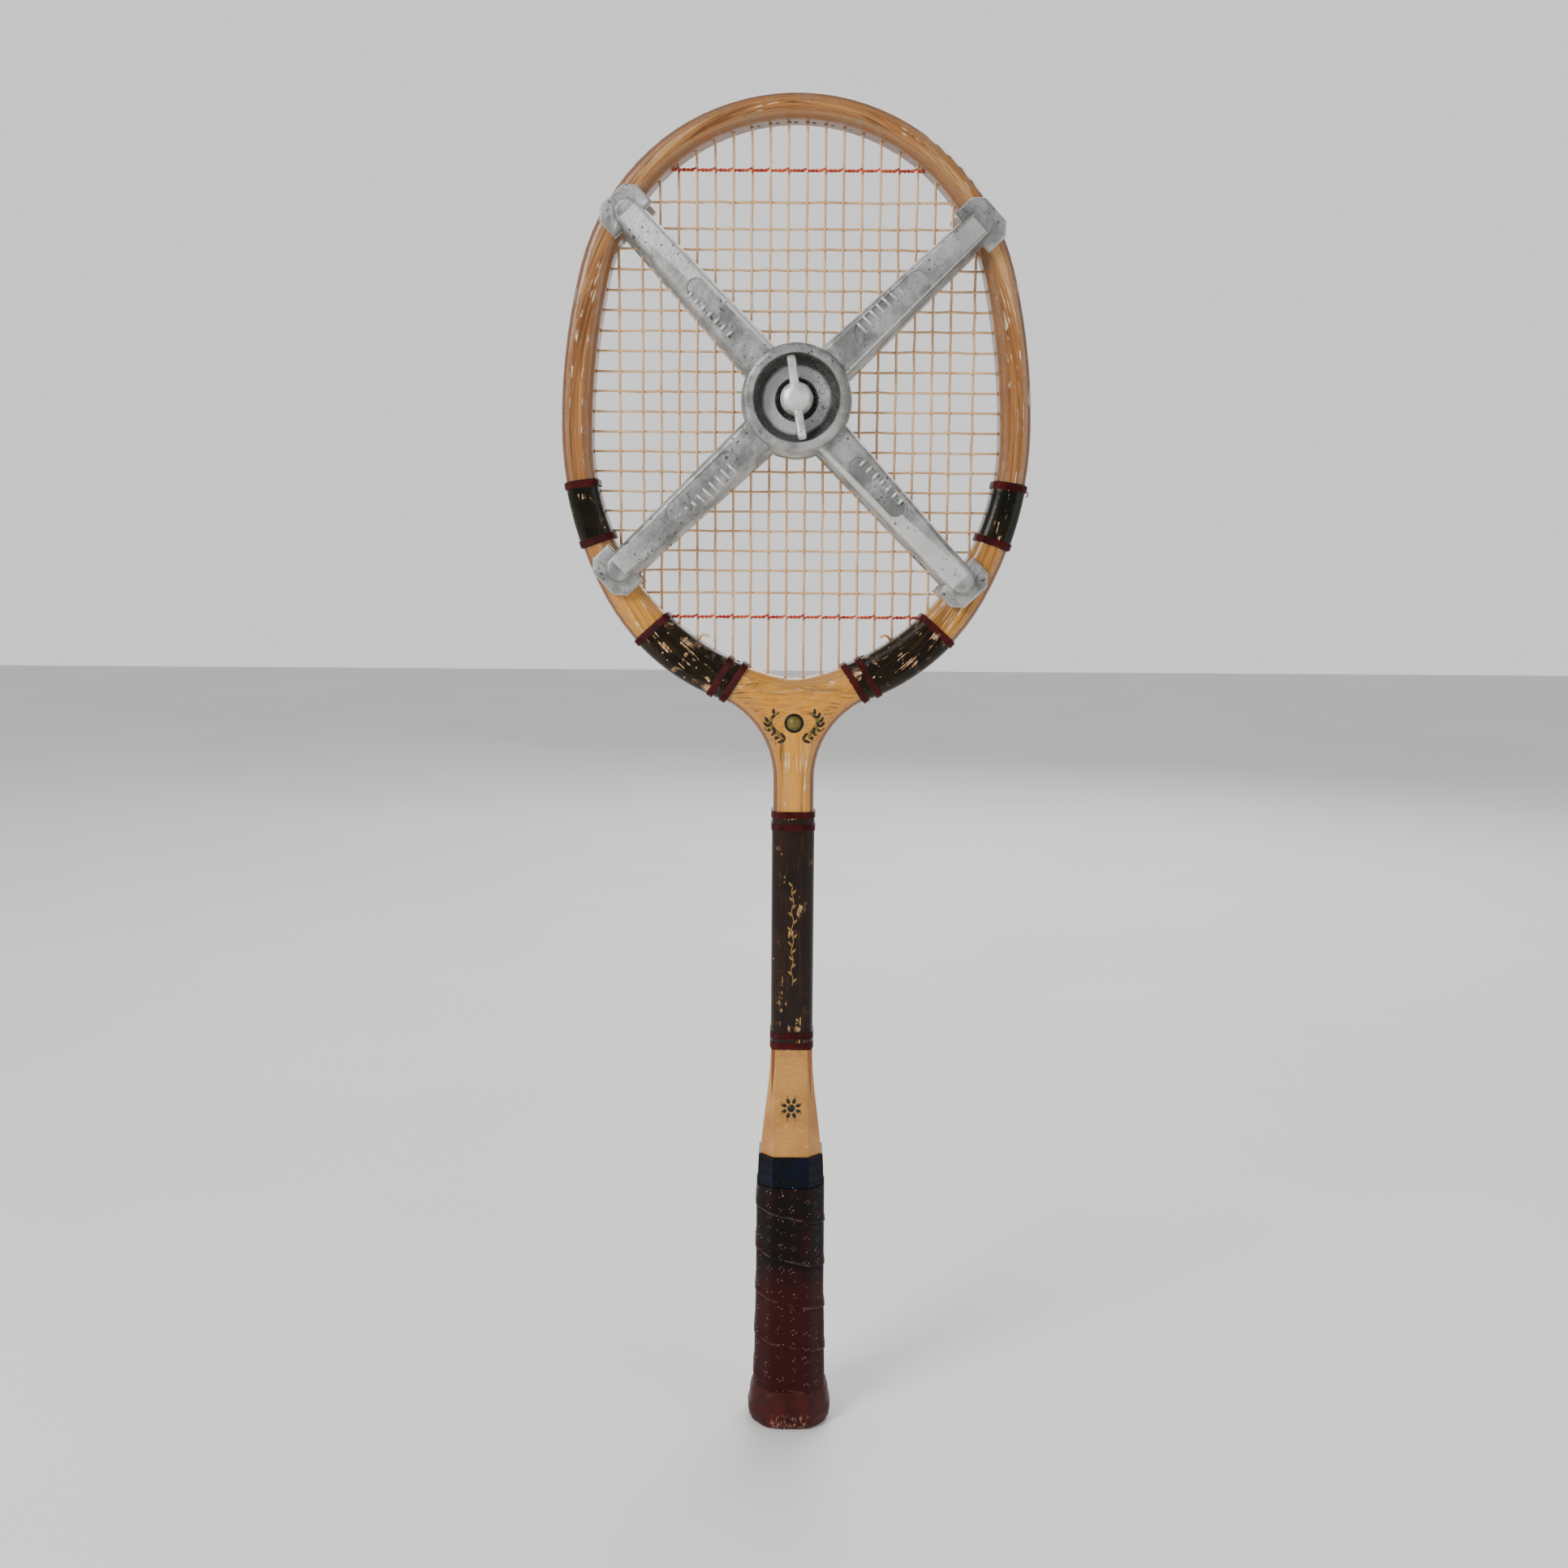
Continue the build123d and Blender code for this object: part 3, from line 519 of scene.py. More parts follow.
def swept_rings(levels, ring, around):
    """Closed mesh grown ring by ring from a disc; ring gives a point for a direction and a level."""
    bm = bmesh.new()
    bmesh.ops.create_circle(bm, cap_ends=True, segments=around, radius=1.0)
    bm.faces.ensure_lookup_table()
    face = bm.faces[0]
    directions = {}
    for vert in face.verts:
        directions[vert] = atan2(vert.co.y, vert.co.x)
        vert.co = ring(directions[vert], levels[0])
    for step, level in enumerate(levels[1:]):
        below = face
        old = list(face.verts)
        made = bmesh.ops.extrude_face_region(bm, geom=[face])
        face = next(item for item in made["geom"] if isinstance(item, bmesh.types.BMFace))
        new = [item for item in made["geom"] if isinstance(item, bmesh.types.BMVert)]
        for vert in new:
            source = min(old, key=lambda other: (other.co - vert.co).length_squared)
            directions[vert] = directions[source]
        for vert in new:
            vert.co = ring(directions[vert], level)
        if step and below.is_valid:
            bmesh.ops.delete(bm, geom=[below], context="FACES_ONLY")
    bmesh.ops.recalc_face_normals(bm, faces=bm.faces)
    mesh = bpy.data.meshes.new("rings")
    bm.to_mesh(mesh)
    bm.free()
    return mesh


# strings: each main goes over and under the crosses in turn
WEAVE = STRING / 2


def wander(size):
    """A random shift of up to so many millimetres either way."""
    return random.uniform(-size, size) * MM


def woven_main(index, place, foot, top):
    """A string up the racket, over and under the crosses in turn."""
    side = 1 if index % 2 else -1
    points = [Vector((place, 0, foot - 3 * MM))]
    for step, (level, _, _) in enumerate(crosses):
        if foot + 2 * MM < level < top - 2 * MM:
            lift = side * (1 if step % 2 else -1) * WEAVE * 0.95
            points.append(Vector((place + wander(0.14), lift, level)))
    points.append(Vector((place, 0, top + 3 * MM)))
    return points


def woven_cross(index, level, start, end):
    """A string across the racket, the other way over and under the mains."""
    side = 1 if index % 2 else -1
    points = [Vector((start - 3 * MM, 0, level))]
    for step, (place, _, _) in enumerate(mains):
        if start + 2 * MM < place < end - 2 * MM:
            lift = -side * (1 if step % 2 else -1) * WEAVE * 1.05
            points.append(Vector((place, lift, level + wander(0.18))))
    points.append(Vector((end + 3 * MM, 0, level)))
    return points


def rim_run(start, end):
    """String laid along the groove outside the hoop between two directions."""
    steps = 5
    path = []
    for step in range(steps + 1):
        point, outward = rim(start + (end - start) * step / steps)
        sunk = 2.6 if step in (0, steps) else 0.95
        path.append(point - outward * sunk * MM)
    return path


def direction_at(level=None, place=None, upper=True):
    """Direction whose rim point has this level on the right, or this place across the top or foot."""
    best = None
    span = range(0, 901) if upper else range(-900, 1)
    for tenth in span:
        angle = tenth / 10
        point = rim(angle)[0]
        miss = abs(point.z - level) if level is not None else abs(point.x - place)
        if best is None or miss < best[0]:
            best = (miss, angle)
    return best[1]


def string_loops():
    """Every second pair of neighbouring strings is joined outside the hoop."""
    loops = []
    right = [direction_at(level=level, upper=level > HEAD_LEVEL) for level, _, _ in crosses]
    for first, second in zip(right[1::2], right[2::2]):
        loops.append(rim_run(first, second))
    for first, second in zip(right[0::2], right[1::2]):
        loops.append(rim_run(180 - first, 180 - second))
    tops = [direction_at(place=abs(place)) for place, _, _ in mains]
    tops = [angle if place > 0 else 180 - angle for angle, (place, _, _) in zip(tops, mains)]
    for first, second in zip(tops[0::2], tops[1::2]):
        loops.append(rim_run(first, second))
    return loops


def cut_tails():
    """Short cut ends of gut where a string was tied off."""
    tails = []
    for index, lean, top in ((17, 1, True), (4, 1, False), (15, -1, False)):
        place, foot, head = mains[index]
        end = head if top else foot
        way = -1 if top else 1
        base = Vector((place + 1.0 * MM * lean, -0.9 * MM, end))
        tails.append([base - Vector((0, 0, way * 2 * MM)), base,
                      base + Vector((2.6 * MM * lean, -2.2 * MM, way * 2.6 * MM)),
                      base + Vector((5.2 * MM * lean, -2.6 * MM, way * 1.6 * MM))])
    return tails


def treble(node):
    """Two twisted strands across the head, wrapped once round each main."""
    level = (low(node).z + high(node).z) / 2
    start, end = low(node).x, high(node).x
    passed = [place for place, _, _ in mains if start + 3 * MM < place < end - 3 * MM]
    stops = [start - 2 * MM, *passed, end + 2 * MM]
    strands = []
    for phase in (0.0, pi):
        path = []
        for first, second in zip(stops, stops[1:]):
            for step in range(6):
                share = step / 6
                turn = phase + share * tau * 1.5
                path.append(Vector((first + (second - first) * (0.18 + 0.66 * share),
                                    0.42 * MM * cos(turn) - 0.2 * MM,
                                    level + 0.42 * MM * sin(turn) + wander(0.08))))
            if second is stops[-1]:
                continue
            for share in (0.1, 0.3, 0.5, 0.7, 0.9):
                turn = share * tau - pi / 2 + phase * 0.15
                path.append(Vector((second + (share - 0.5) * 1.3 * MM, 1.25 * MM * sin(turn) + 0.1 * MM,
                                    level + 1.15 * MM * cos(turn))))
        strands.append(path)
    return strands


HOLE_RADIUS = 1.05 * MM
SPARE_HOLE = 3.3 * MM           # from the hole that a main goes through


def hole_mouths():
    """Painted shade in the string holes: dark discs at their mouths in the hoop's inner face, with a spare
    hole beside each main.
    """
    bm = bmesh.new()
    spots = []
    for end in (1, 2):
        for before, here, after in zip(mains, mains[1:], mains[2:]):
            slope = Vector((after[0] - before[0], 0, after[end] - before[end])).normalized()
            spots.append((Vector((here[0], 0, here[end])), slope))
            spots.append((Vector((here[0], 0, here[end])) + slope * SPARE_HOLE, slope))
        for before, here, after in zip(crosses, crosses[1:], crosses[2:]):
            slope = Vector((after[end] - before[end], 0, after[0] - before[0])).normalized()
            spots.append((Vector((here[end], 0, here[0])), slope))
    for spot, slope in spots:
        outward = Vector((slope.z, 0, -slope.x))
        frame_of_hole = Matrix((slope, Vector((0, 1, 0)), outward)).transposed().to_4x4()
        bmesh.ops.create_cone(bm, cap_ends=True, segments=14, radius1=HOLE_RADIUS, radius2=HOLE_RADIUS,
                              depth=0.5 * MM, matrix=Matrix.Translation(spot) @ frame_of_hole)
    bmesh.ops.recalc_face_normals(bm, faces=bm.faces)
    mesh = bpy.data.meshes.new("holes")
    bm.to_mesh(mesh)
    bm.free()
    return mesh


# ---- thread bands ------------------------------------------------------------------------------------
THREAD = 0.55 * MM              # from turn to turn
THREAD_RADIUS = THREAD * 0.56   # a little over half, so that neighbouring turns touch
BAND_TURNS = 6


def section_loop(middle, outward, half_width, corner=4.6 * MM, half_depth=HALF_DEPTH + 0.75 * MM):
    """Closed line round the wrapped wood: middle and outward lie in the string plane."""
    path = []
    for step in range(28):
        turn = tau * step / 28
        c, s = cos(turn), sin(turn)
        bulge = (abs(c) ** 5 + abs(s) ** 5) ** (-1 / 5)
        path.append(middle + outward * (half_width * c * bulge) + Vector((0, half_depth * s * bulge, 0)))
    return path


def shaft_bands():
    """Turns of thread laid side by side over each band of the shaft."""
    loops = []
    levels = sorted(set(round(v.co.z, 4) for v in nodes["shaft_thread_bands"].data.vertices))
    starts = [level for i, level in enumerate(levels) if i == 0 or level - levels[i - 1] > 1 * MM]
    feet = starts[0::2]
    for foot in feet:
        for turn in range(BAND_TURNS):
            middle = Vector((0, 0, foot + (turn + 0.5) * THREAD + wander(0.05)))
            loops.append(section_loop(middle, Vector((1, 0, 0)), SHAFT_HALF + 0.18 * MM))
    return loops


def hoop_bands(node):
    """Turns of thread laid side by side over each band of a hoop node."""
    islands = split_islands(nodes[node].data)
    loops = []
    for points in islands:
        centre = sum(points, Vector()) / len(points)
        flat = [Vector((p.x - centre.x, p.z - centre.z)) for p in points]
        xx = sum(p.x * p.x for p in flat)
        zz = sum(p.y * p.y for p in flat)
        xz = sum(p.x * p.y for p in flat)
        angle = 0.5 * atan2(2 * xz, xx - zz)
        outward = Vector((cos(angle), 0, sin(angle)))
        along = Vector((-outward.z, 0, outward.x))
        reach = [(p - centre).dot(outward) for p in points]
        middle = centre + outward * (max(reach) + min(reach)) / 2
        half_width = (max(reach) - min(reach)) / 2
        for turn in range(BAND_TURNS):
            shift = (turn - (BAND_TURNS - 1) / 2) * THREAD + wander(0.06)
            loops.append(section_loop(middle + along * shift, outward, half_width - 0.05 * MM))
    return loops


def split_islands(mesh):
    """Points of each separate solid of a mesh."""
    bm = bmesh.new()
    bm.from_mesh(mesh)
    bmesh.ops.remove_doubles(bm, verts=bm.verts, dist=0.02 * MM)
    seen = set()
    islands = []
    for start in bm.verts:
        if start in seen:
            continue
        seen.add(start)
        stack = [start]
        found = []
        while stack:
            vert = stack.pop()
            found.append(vert.co.copy())
            for edge in vert.link_edges:
                other = edge.other_vert(vert)
                if other not in seen:
                    seen.add(other)
                    stack.append(other)
        islands.append(found)
    bm.free()
    return islands


# ---- grip and butt -----------------------------------------------------------------------------------
GRIP_FOOT, GRIP_TOP = low("leather_grip").z, high("leather_grip").z
WOOD_HALF_X = high("cheek_right").x
WOOD_HALF_Y = high("cheek_back").y
WOOD_BEVEL = 7.15 * MM
STRIP_PITCH = 24.0 * MM
STRIP_START = 21 * MM
GRIP_RADIUS = 18.7 * MM         # mean, so that the holes keep their spacing round the grip


def octagon_reach(direction, grow, hardness):
    """Distance of the eight-sided section in a direction, with softened corners."""
    c, s = abs(cos(direction)), abs(sin(direction))
    flats = [c / (WOOD_HALF_X + grow), s / (WOOD_HALF_Y + grow),
             (c + s) / (WOOD_HALF_X + WOOD_HALF_Y - WOOD_BEVEL + 1.414 * grow)]
    return sum(flat ** hardness for flat in flats) ** (-1 / hardness)


def swell(level, stations):
    """Growth over the handle's wood at a level, eased from station to station."""
    for (low_level, low_grow), (high_level, high_grow) in zip(stations, stations[1:]):
        if level <= high_level:
            share = (level - low_level) / (high_level - low_level)
            return low_grow + (high_grow - low_grow) * share * share * (3 - 2 * share)
    return stations[-1][1]


GRIP_SWELL = [(20 * MM, 3.0 * MM), (47 * MM, 2.5 * MM), (80 * MM, 1.95 * MM), (134 * MM, 1.75 * MM)]
CUFF_SWELL = [(0, 3.2 * MM), (1.2 * MM, 4.6 * MM), (3.5 * MM, 5.7 * MM), (7 * MM, 6.1 * MM),
              (14 * MM, 4.9 * MM), (18 * MM, 4.2 * MM), (20 * MM, 3.3 * MM)]


def strip_phase(direction, level):
    """How far across the wound strip a point lies, 0 to 1 from its lower edge."""
    return ((level + STRIP_PITCH * (direction + pi / 2) / tau - STRIP_START) / STRIP_PITCH) % 1.0


def smooth(value, start, end):
    """0 to 1, soft at both ends, as a value goes from start to end."""
    share = min(max((value - start) / (end - start), 0), 1)
    return share * share * (3 - 2 * share)


def grip_point(direction, level):
    """Point of the wound grip: a lapped edge, a groove at each turn and a slightly uneven skin."""
    along = strip_phase(direction, level) * STRIP_PITCH
    before = STRIP_PITCH - along
    lap = 0.5 * MM * (1 - smooth(along, 1.0 * MM, 6.0 * MM)) * smooth(along, 0.0, 0.8 * MM)
    groove = 0.35 * MM * (1 - smooth(min(along, before), 0.0, 0.9 * MM))
    spot = Vector((cos(direction) * 2.2, sin(direction) * 2.2, level / (16 * MM)))
    uneven = 0.16 * MM * noise.noise(spot)
    reach = octagon_reach(direction, swell(level, GRIP_SWELL) - 0.15 * MM, 24) + lap - groove + uneven
    return Vector((reach * cos(direction), reach * sin(direction), level))


def cuff_point(direction, level):
    """Point of the leather cuff where it is stretched over the flared butt."""
    uneven = 0.35 * MM * noise.noise(Vector((cos(direction) * 3, sin(direction) * 3, level / (6 * MM))))
    reach = octagon_reach(direction, swell(level, CUFF_SWELL), 14) + uneven - 0.15 * MM
    return Vector((reach * cos(direction), reach * sin(direction), level))


def grip_piece(material):
    """The wound leather grip, with coordinates along its strip and the worn line of its lap."""
    steps = 300
    levels = [GRIP_FOOT + (GRIP_TOP - GRIP_FOOT) * step / steps for step in range(steps + 1)]
    mesh = swept_rings(levels, grip_point, 120)
    strip = mesh.uv_layers.new(name="strip")
    for polygon in mesh.polygons:
        corners = [mesh.vertices[mesh.loops[index].vertex_index].co for index in polygon.loop_indices]
        turns = [atan2(corner.y, corner.x) for corner in corners]
        wrapped = max(turns) - min(turns) > pi
        for index, corner, turn in zip(polygon.loop_indices, corners, turns):
            turn = turn + tau if wrapped and turn < 0 else turn
            strip.data[index].uv = (0.5 + turn * GRIP_RADIUS, 0.5 + corner.z + STRIP_PITCH * turn / tau)
    lap = mesh.attributes.new("lap", "FLOAT", "POINT")
    for vert in mesh.vertices:
        along = strip_phase(atan2(vert.co.y, vert.co.x), vert.co.z) * STRIP_PITCH
        rise = smooth(along, 0.1 * MM, 0.7 * MM)
        lap.data[vert.index].value = rise * (1 - smooth(along, 0.9 * MM, 2.2 * MM))
    return link("leather_grip_wound", mesh, material, "racket", ["leather_grip"])


# ---- prints ------------------------------------------------------------------------------------------
def surface(*names):
    """Finds how far forward the front of some nodes lies at a place."""
    trees = []
    for name in names:
        data = nodes[name].data
        polygons = [tuple(polygon.vertices) for polygon in data.polygons]
        trees.append(BVHTree.FromPolygons([vert.co.copy() for vert in data.vertices], polygons))

    def front(x, z):
        hits = [tree.ray_cast(Vector((x, -0.2, z)), Vector((0, 1, 0)))[0] for tree in trees]
        return min((hit.y for hit in hits if hit is not None), default=None)
    return front


def raised(outlines, front, proud, sunk=0.4):
    """Thin shapes that lie on a surface: each outline is a list of (across, up) points in millimetres."""
    bm = bmesh.new()
    for outline in outlines:
        places = [(x * MM, front(x * MM, z * MM), z * MM) for x, z in outline]
        if any(y is None for _, y, _ in places):
            continue
        face = bm.faces.new([bm.verts.new((x, y + sunk * MM, z)) for x, y, z in places])
        made = bmesh.ops.extrude_face_region(bm, geom=[face])
        lifted = [item for item in made["geom"] if isinstance(item, bmesh.types.BMVert)]
        bmesh.ops.translate(bm, verts=lifted, vec=(0, -(sunk + proud) * MM, 0))
    bmesh.ops.recalc_face_normals(bm, faces=bm.faces)
    mesh = bpy.data.meshes.new("print")
    bm.to_mesh(mesh)
    bm.free()
    return mesh


DEGREES = 57.3                  # in a radian
EMBLEM_LEVEL = 379.0            # millimetres above the butt, as are the next two
CREST_LEVEL = 177.0
VINE_FOOT, VINE_LENGTH = 243, 52


def leaf(x, z, length, width, slant):
    """Outline of one leaf from its root."""
    c, s = cos(radians(slant)), sin(radians(slant))
    points = []
    for along, across in ((0, 0), (0.3, 0.5), (0.7, 0.45), (1, 0), (0.7, -0.4), (0.3, -0.5)):
        u, v = along * length, across * width
        points.append((x + u * c - v * s, z + u * s + v * c))
    return points


def throat_emblem():
    """A plain disc with a ring, held between two curved sprays of leaves."""
    middle = EMBLEM_LEVEL
    dark, gold = [], []
    for side in (-1, 1):
        for step in range(8):
            turn = -1.25 + step * 0.27
            x = 13.0 * cos(turn)
            z = middle + 8.2 * sin(turn)
            heading = 90 + turn * DEGREES
            for lean, shade in ((-38, dark), (34, gold if step % 2 else dark)):
                slant = heading + lean
                length = 4.9 - 0.22 * step
                shade.append(leaf(side * x, z, length, 1.7, slant if side > 0 else 180 - slant))
    steps = range(24)
    ring = [(5.0 * cos(tau * step / 24), middle + 0.6 + 5.0 * sin(tau * step / 24)) for step in steps]
    disc = [(3.5 * cos(tau * step / 24), middle + 0.6 + 3.5 * sin(tau * step / 24)) for step in steps]
    dark.append(ring)
    gold.append(disc)
    return dark, gold


def handle_crest():
    """A plain rosette of eight petals round a disc."""
    middle = CREST_LEVEL
    disc = [(2.0 * cos(tau * step / 16), middle + 2.0 * sin(tau * step / 16)) for step in range(16)]
    petals, tips = [], []
    for step in range(8):
        turn = tau * (step + 0.5) / 8
        c, s = cos(turn), sin(turn)
        petals.append(leaf(2.4 * c, middle + 2.4 * s, 3.4, 2.0, turn * DEGREES))
        tips.append(leaf(4.2 * c, middle + 5.6 * s, 2.2, 0.9, turn * DEGREES))
    return [disc, *petals], tips


def shaft_vine():
    """A thin gilt stem up the front of the shaft with a leaf to each side in turn."""
    stem = []
    leaves = []
    for step in range(41):
        share = step / 40
        x, z = 0.5 * sin(share * tau * 5), VINE_FOOT + VINE_LENGTH * share
        stem.append(Vector((x * MM, WRAP_FRONT - 0.02 * MM, z * MM)))
        if step % 3 == 1:
            lean = 1 if step % 2 else -1
            leaves.append(leaf(x, z, 3.4, 1.15, 90 - 42 * lean))
    return stem, leaves


PRESS_TURN = 1.7                # degrees that the press sits turned on the head
PANEL_START = 40.0              # millimetres from the stud
PANELS = [(46.0, 12.0, 9), (36.0, 9.5, 7)]      # length, width and count of ribs, on alternate arms


def panel_ribs(front):
    """Plain raised ribs inside each sunk panel of the front casting."""
    shapes = []
    for arm in range(4):
        heading = radians(45 + 90 * arm + PRESS_TURN)
        length, width, count = PANELS[arm % 2]
        c, s = cos(heading), sin(heading)

        def turned(u, v):
            return (u * c - v * s, press_middle.z / MM + u * s + v * c)
        inner = length - width
        reach = width / 2 - 2.6
        for step in range(count):
            u = PANEL_START + width / 2 + inner * step / (count - 1)
            corners = ((u - 0.7, -reach), (u + 0.7, -reach), (u + 0.7, reach), (u - 0.7, reach))
            shapes.append([turned(*corner) for corner in corners])
    return raised(shapes, front, 0.45)


# ---- castings ----------------------------------------------------------------------------------------
def softened(node, voxel_mm, passes, lump_mm):
    """Copy of a CAD piece with every corner eased and the skin slightly uneven, as cast in sand."""
    bm = bmesh.new()
    bm.from_mesh(nodes[node].data)
    bmesh.ops.remove_doubles(bm, verts=bm.verts, dist=0.01 * MM)
    mesh = bpy.data.meshes.new("casting")
    bm.to_mesh(mesh)
    bm.free()
    holder = bpy.data.objects.new("casting", mesh)
    bpy.context.scene.collection.objects.link(holder)
    remesh = holder.modifiers.new("remesh", "REMESH")
    remesh.mode = "VOXEL"
    remesh.voxel_size = voxel_mm * MM
    ease = holder.modifiers.new("ease", "SMOOTH")
    ease.factor = 0.5
    ease.iterations = passes
    bpy.context.view_layer.update()
    result = bpy.data.meshes.new_from_object(holder.evaluated_get(bpy.context.evaluated_depsgraph_get()))
    bpy.data.objects.remove(holder)
    for vert in result.vertices:
        vert.co += vert.normal * noise.noise(vert.co / (3.2 * MM)) * lump_mm * MM
    return result


# ---- build -------------------------------------------------------------------------------------------
hoop_wood = bow_wood("varnished_ash_plies", "#C58732", "#9C6837", "#4C2C14", "#D0A673")
inner_wood = bow_wood("varnished_ash_inner_ply", "#C98A30", "#8E5C30", "#442610", "#C0915C")
throat_wood = bow_wood("varnished_throat_wood", "#CF8C28", "#BE7F34", "#8F551A", "#E0A851", wear=0.3)
edge_wood = bow_wood("stained_outer_ply", "#995C24", "#8A5428", "#3E2010", "#B98450", red=0.35)
for node in ("core_ply_outer", "core_ply_middle", "core_ply_inner", "liner_ply"):
    nodes[node].data.materials.clear()
    nodes[node].data.materials.append(hoop_wood)
steel = dull_steel()
butt_hide = cuff_leather()
finishes = {
    "outer_ply": edge_wood,
    "inner_ply": inner_wood,
    "throat_wedge": throat_wood,
    "grip_top_band": navy_tape(),
    "press_stud": steel,
    "press_washer": steel,
    "butt_plate": butt_hide,
}
cheeks = handle_wood()
for node in ("cheek_left", "cheek_right", "cheek_front", "cheek_back", "butt_collar"):
    finishes[node] = cheeks
finishes["shaft_wrap"] = chipped_wrap("lacquered_shaft_binding", "#120702", "#241206", "#B99366", "#5A3210",
                                      chips=0.79, dot_share=0.55)
side_finish = chipped_wrap("lacquered_side_binding", "#0B0C07", "#181509", "#D6B48C", "#43381C",
                           chips=0.79, dot_share=0.52)
shoulder_finish = chipped_wrap("lacquered_shoulder_binding", "#100B05", "#20170A", "#D6B48C", "#4E3819",
                               chips=0.765, dot_share=0.49)
for side in ("left", "right"):
    finishes["side_wrap_" + side] = side_finish
    finishes["shoulder_wrap_" + side] = shoulder_finish
for node, finish in finishes.items():
    nodes[node].data.materials.clear()
    nodes[node].data.materials.append(finish)

gut = natural_gut()
upright_strings = tubes([woven_main(index, *span) for index, span in enumerate(mains)], STRING / 2)
link("main_strings_woven", upright_strings, gut, "racket", ["main_strings"])
level_strings = tubes([woven_cross(index, *span) for index, span in enumerate(crosses)], STRING / 2)
link("cross_strings_woven", level_strings, gut, "racket", ["cross_strings"])
link("string_loops", tubes(string_loops(), STRING / 2), gut, "racket")
link("string_tails", tubes(cut_tails(), STRING / 2), gut, "racket")
# painted shade: near-black discs at the mouths of the string holes stand for the shade inside them
hole_shade = printed("painted_hole_shade", "#120A05", "#241509")
link("string_hole_shade", hole_mouths(), hole_shade, "racket")
silk = trebling_thread()
for node in ("trebling_top", "trebling_bottom"):
    link(node + "_twisted", tubes(treble(node), 0.47 * MM), silk, "racket", [node])

thread = waxed_thread()
link("shaft_threads", tubes(shaft_bands(), THREAD_RADIUS, closed=True), thread, "racket",
     ["shaft_thread_bands"])
knot, away = rim(-9.5)
tail = [knot - away * 1.0 * MM, knot + away * 1.2 * MM,
        knot + away * 2.6 * MM + Vector((0, -0.6, -1.4)) * MM,
        knot + away * 1.8 * MM + Vector((0, -1.0, -3.2)) * MM]
link("loose_thread_end", tubes([tail], THREAD_RADIUS), thread, "racket")
for node in ("side_bands_left", "side_bands_right", "shoulder_bands_left", "shoulder_bands_right"):
    turns = tubes(hoop_bands(node), THREAD_RADIUS, closed=True)
    link(node + "_wound", turns, thread, "racket", [node])

grip_piece(grip_leather())
cuff_levels = [0, 0.4, 1, 2, 3.2, 4.6, 6, 7.5, 9, 10.5, 12, 13.5, 15, 16.5, 18, 19, 20, 20.6]
cuff = swept_rings([level * MM for level in cuff_levels], cuff_point, 96)
link("butt_cuff_stretched", cuff, butt_hide, "racket", ["butt_cuff"])

black_ink = printed("black_transfer", "#070A06", "#1E1F10")
olive_ink = printed("olive_gold_transfer", "#6B5A1C", "#3F3A16")
gilt = printed("gilt_transfer", "#8F6E33", "#4C3A1A")
bow_front = surface("throat_wedge", "liner_ply", "core_ply_outer", "core_ply_middle", "core_ply_inner",
                    "outer_ply", "inner_ply")
dark, gold = throat_emblem()
link("throat_emblem_dark", raised(dark, bow_front, 0.05), black_ink, "racket")
link("throat_emblem_gold", raised(gold, bow_front, 0.08), olive_ink, "racket")
handle_front = surface("cheek_front")
dark, gold = handle_crest()
link("handle_crest_dark", raised(dark, handle_front, 0.06), black_ink, "racket")
link("handle_crest_gold", raised(gold, handle_front, 0.09), gilt, "racket")
stem, leaves = shaft_vine()
link("shaft_vine_stem", tubes([stem], 0.26 * MM), gilt, "racket")
link("shaft_vine_leaves", raised(leaves, surface("shaft_wrap"), 0.06), gilt, "racket")

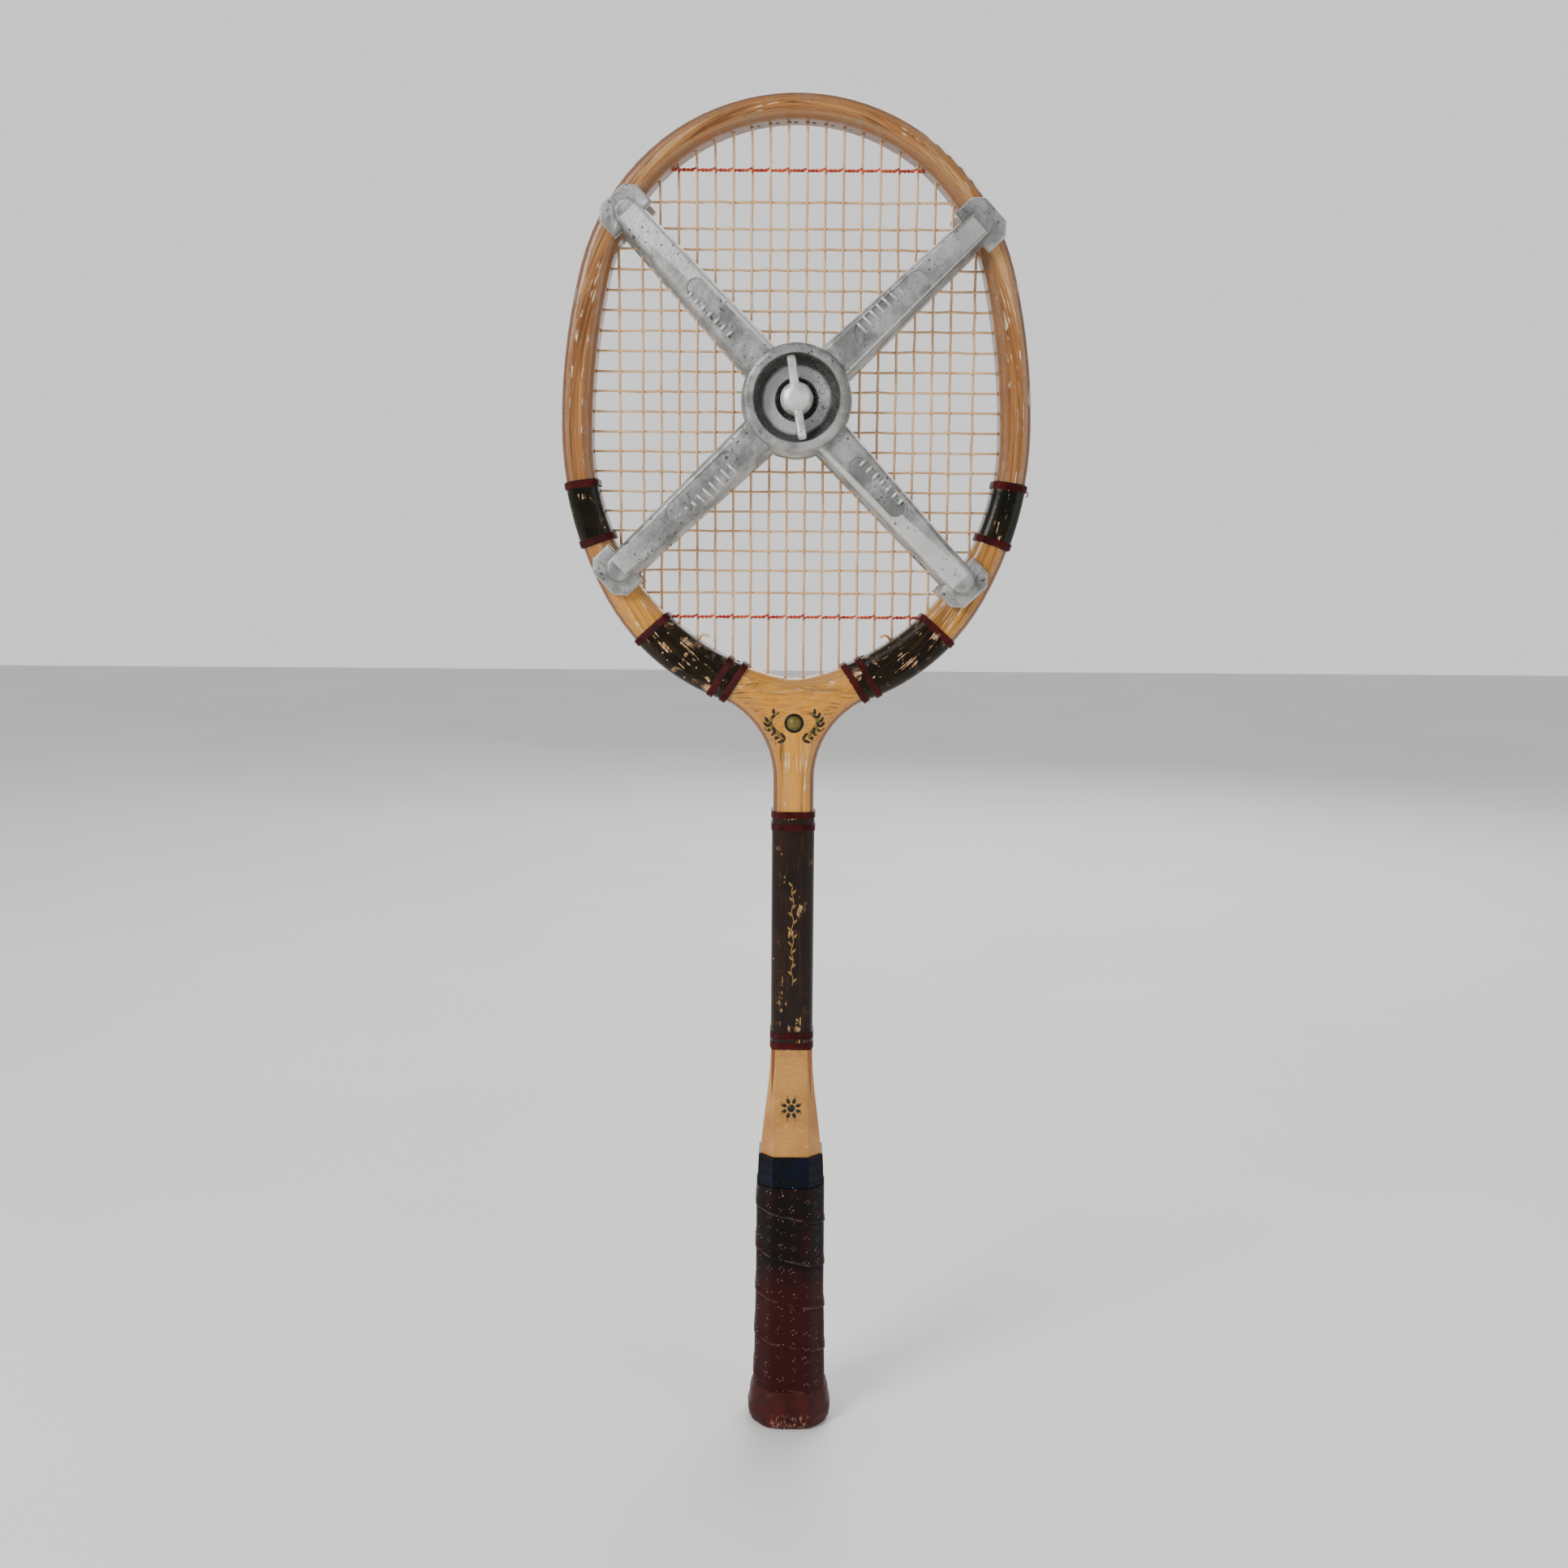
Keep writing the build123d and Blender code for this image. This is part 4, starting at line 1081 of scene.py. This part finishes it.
alloy = cast_alloy("sand_cast_aluminium", "#ACADAB", "#767775", "#2E2C2A", 0.34, 0.7, axis=press_middle.z)
nut_alloy = cast_alloy("rubbed_cast_aluminium", "#E2E2DF", "#B8B8B5", "#55534F", 0.2, 0.45)
for node in ("press_front", "press_back"):
    nodes[node].data.materials.clear()
    nodes[node].data.materials.append(alloy)
link("press_panel_relief", panel_ribs(surface("press_front")), alloy, "press_front_plate")
link("wing_nut_cast", softened("wing_nut", 0.35, 6, 0.25), nut_alloy, "wing_nut", ["wing_nut"])

# ---- floor, lights and camera ------------------------------------------------------------------------
bm = bmesh.new()
bmesh.ops.create_grid(bm, x_segments=2, y_segments=2, size=6.0)
floor_mesh = bpy.data.meshes.new("floor")
bm.to_mesh(floor_mesh)
bm.free()
floor = bpy.data.objects.new("floor", floor_mesh)
bpy.context.scene.collection.objects.link(floor)
floor_mesh.materials.append(plain_floor())


def area_light(name, place, target, size, power):
    """A soft square lamp that looks at a target."""
    lamp = bpy.data.lights.new(name, "AREA")
    lamp.size = size
    lamp.energy = power
    holder = bpy.data.objects.new(name, lamp)
    bpy.context.scene.collection.objects.link(holder)
    holder.location = place
    holder.rotation_euler = (Vector(target) - Vector(place)).to_track_quat("-Z", "Y").to_euler()


area_light("key", (-1.5, -1.5, 1.5), (0, 0, 0.4), 0.9, 52)
area_light("fill", (1.7, -1.3, 0.8), (0, 0, 0.35), 1.4, 12)
area_light("back", (0.5, 1.8, 1.7), (0, 0, 0.4), 1.8, 34)
world = bpy.data.worlds.new("studio")
world.use_nodes = True
studio = world.node_tree
sky = studio.nodes["Background"]
facing = add(studio, "SeparateXYZ", [add(studio, "TexCoord", [])], out=1)
studio.links.new(tint(studio, linear("#9A9A9C"), linear("#FFFFFF"), facing, -0.5, 0.6), sky.inputs[0])
sky.inputs[1].default_value = 1.0
bpy.context.scene.world = world

camera = bpy.data.cameras.new("camera")
camera.sensor_width = 36.0
camera.lens = 36.06
PITCH = radians(8.0)            # the camera looks down by this much
LEAN = 0.00726                  # and is rolled by this rise over its width
holder = bpy.data.objects.new("camera", camera)
bpy.context.scene.collection.objects.link(holder)
forward = Vector((0, cos(PITCH), -sin(PITCH)))
across = Vector((1, 0, LEAN)).normalized()
upward = across.cross(forward).normalized()
turn = Matrix((across, upward, -forward)).transposed().to_4x4()
holder.matrix_world = Matrix.Translation((-0.0053, -0.8039, 0.4601)) @ turn
bpy.context.scene.camera = holder
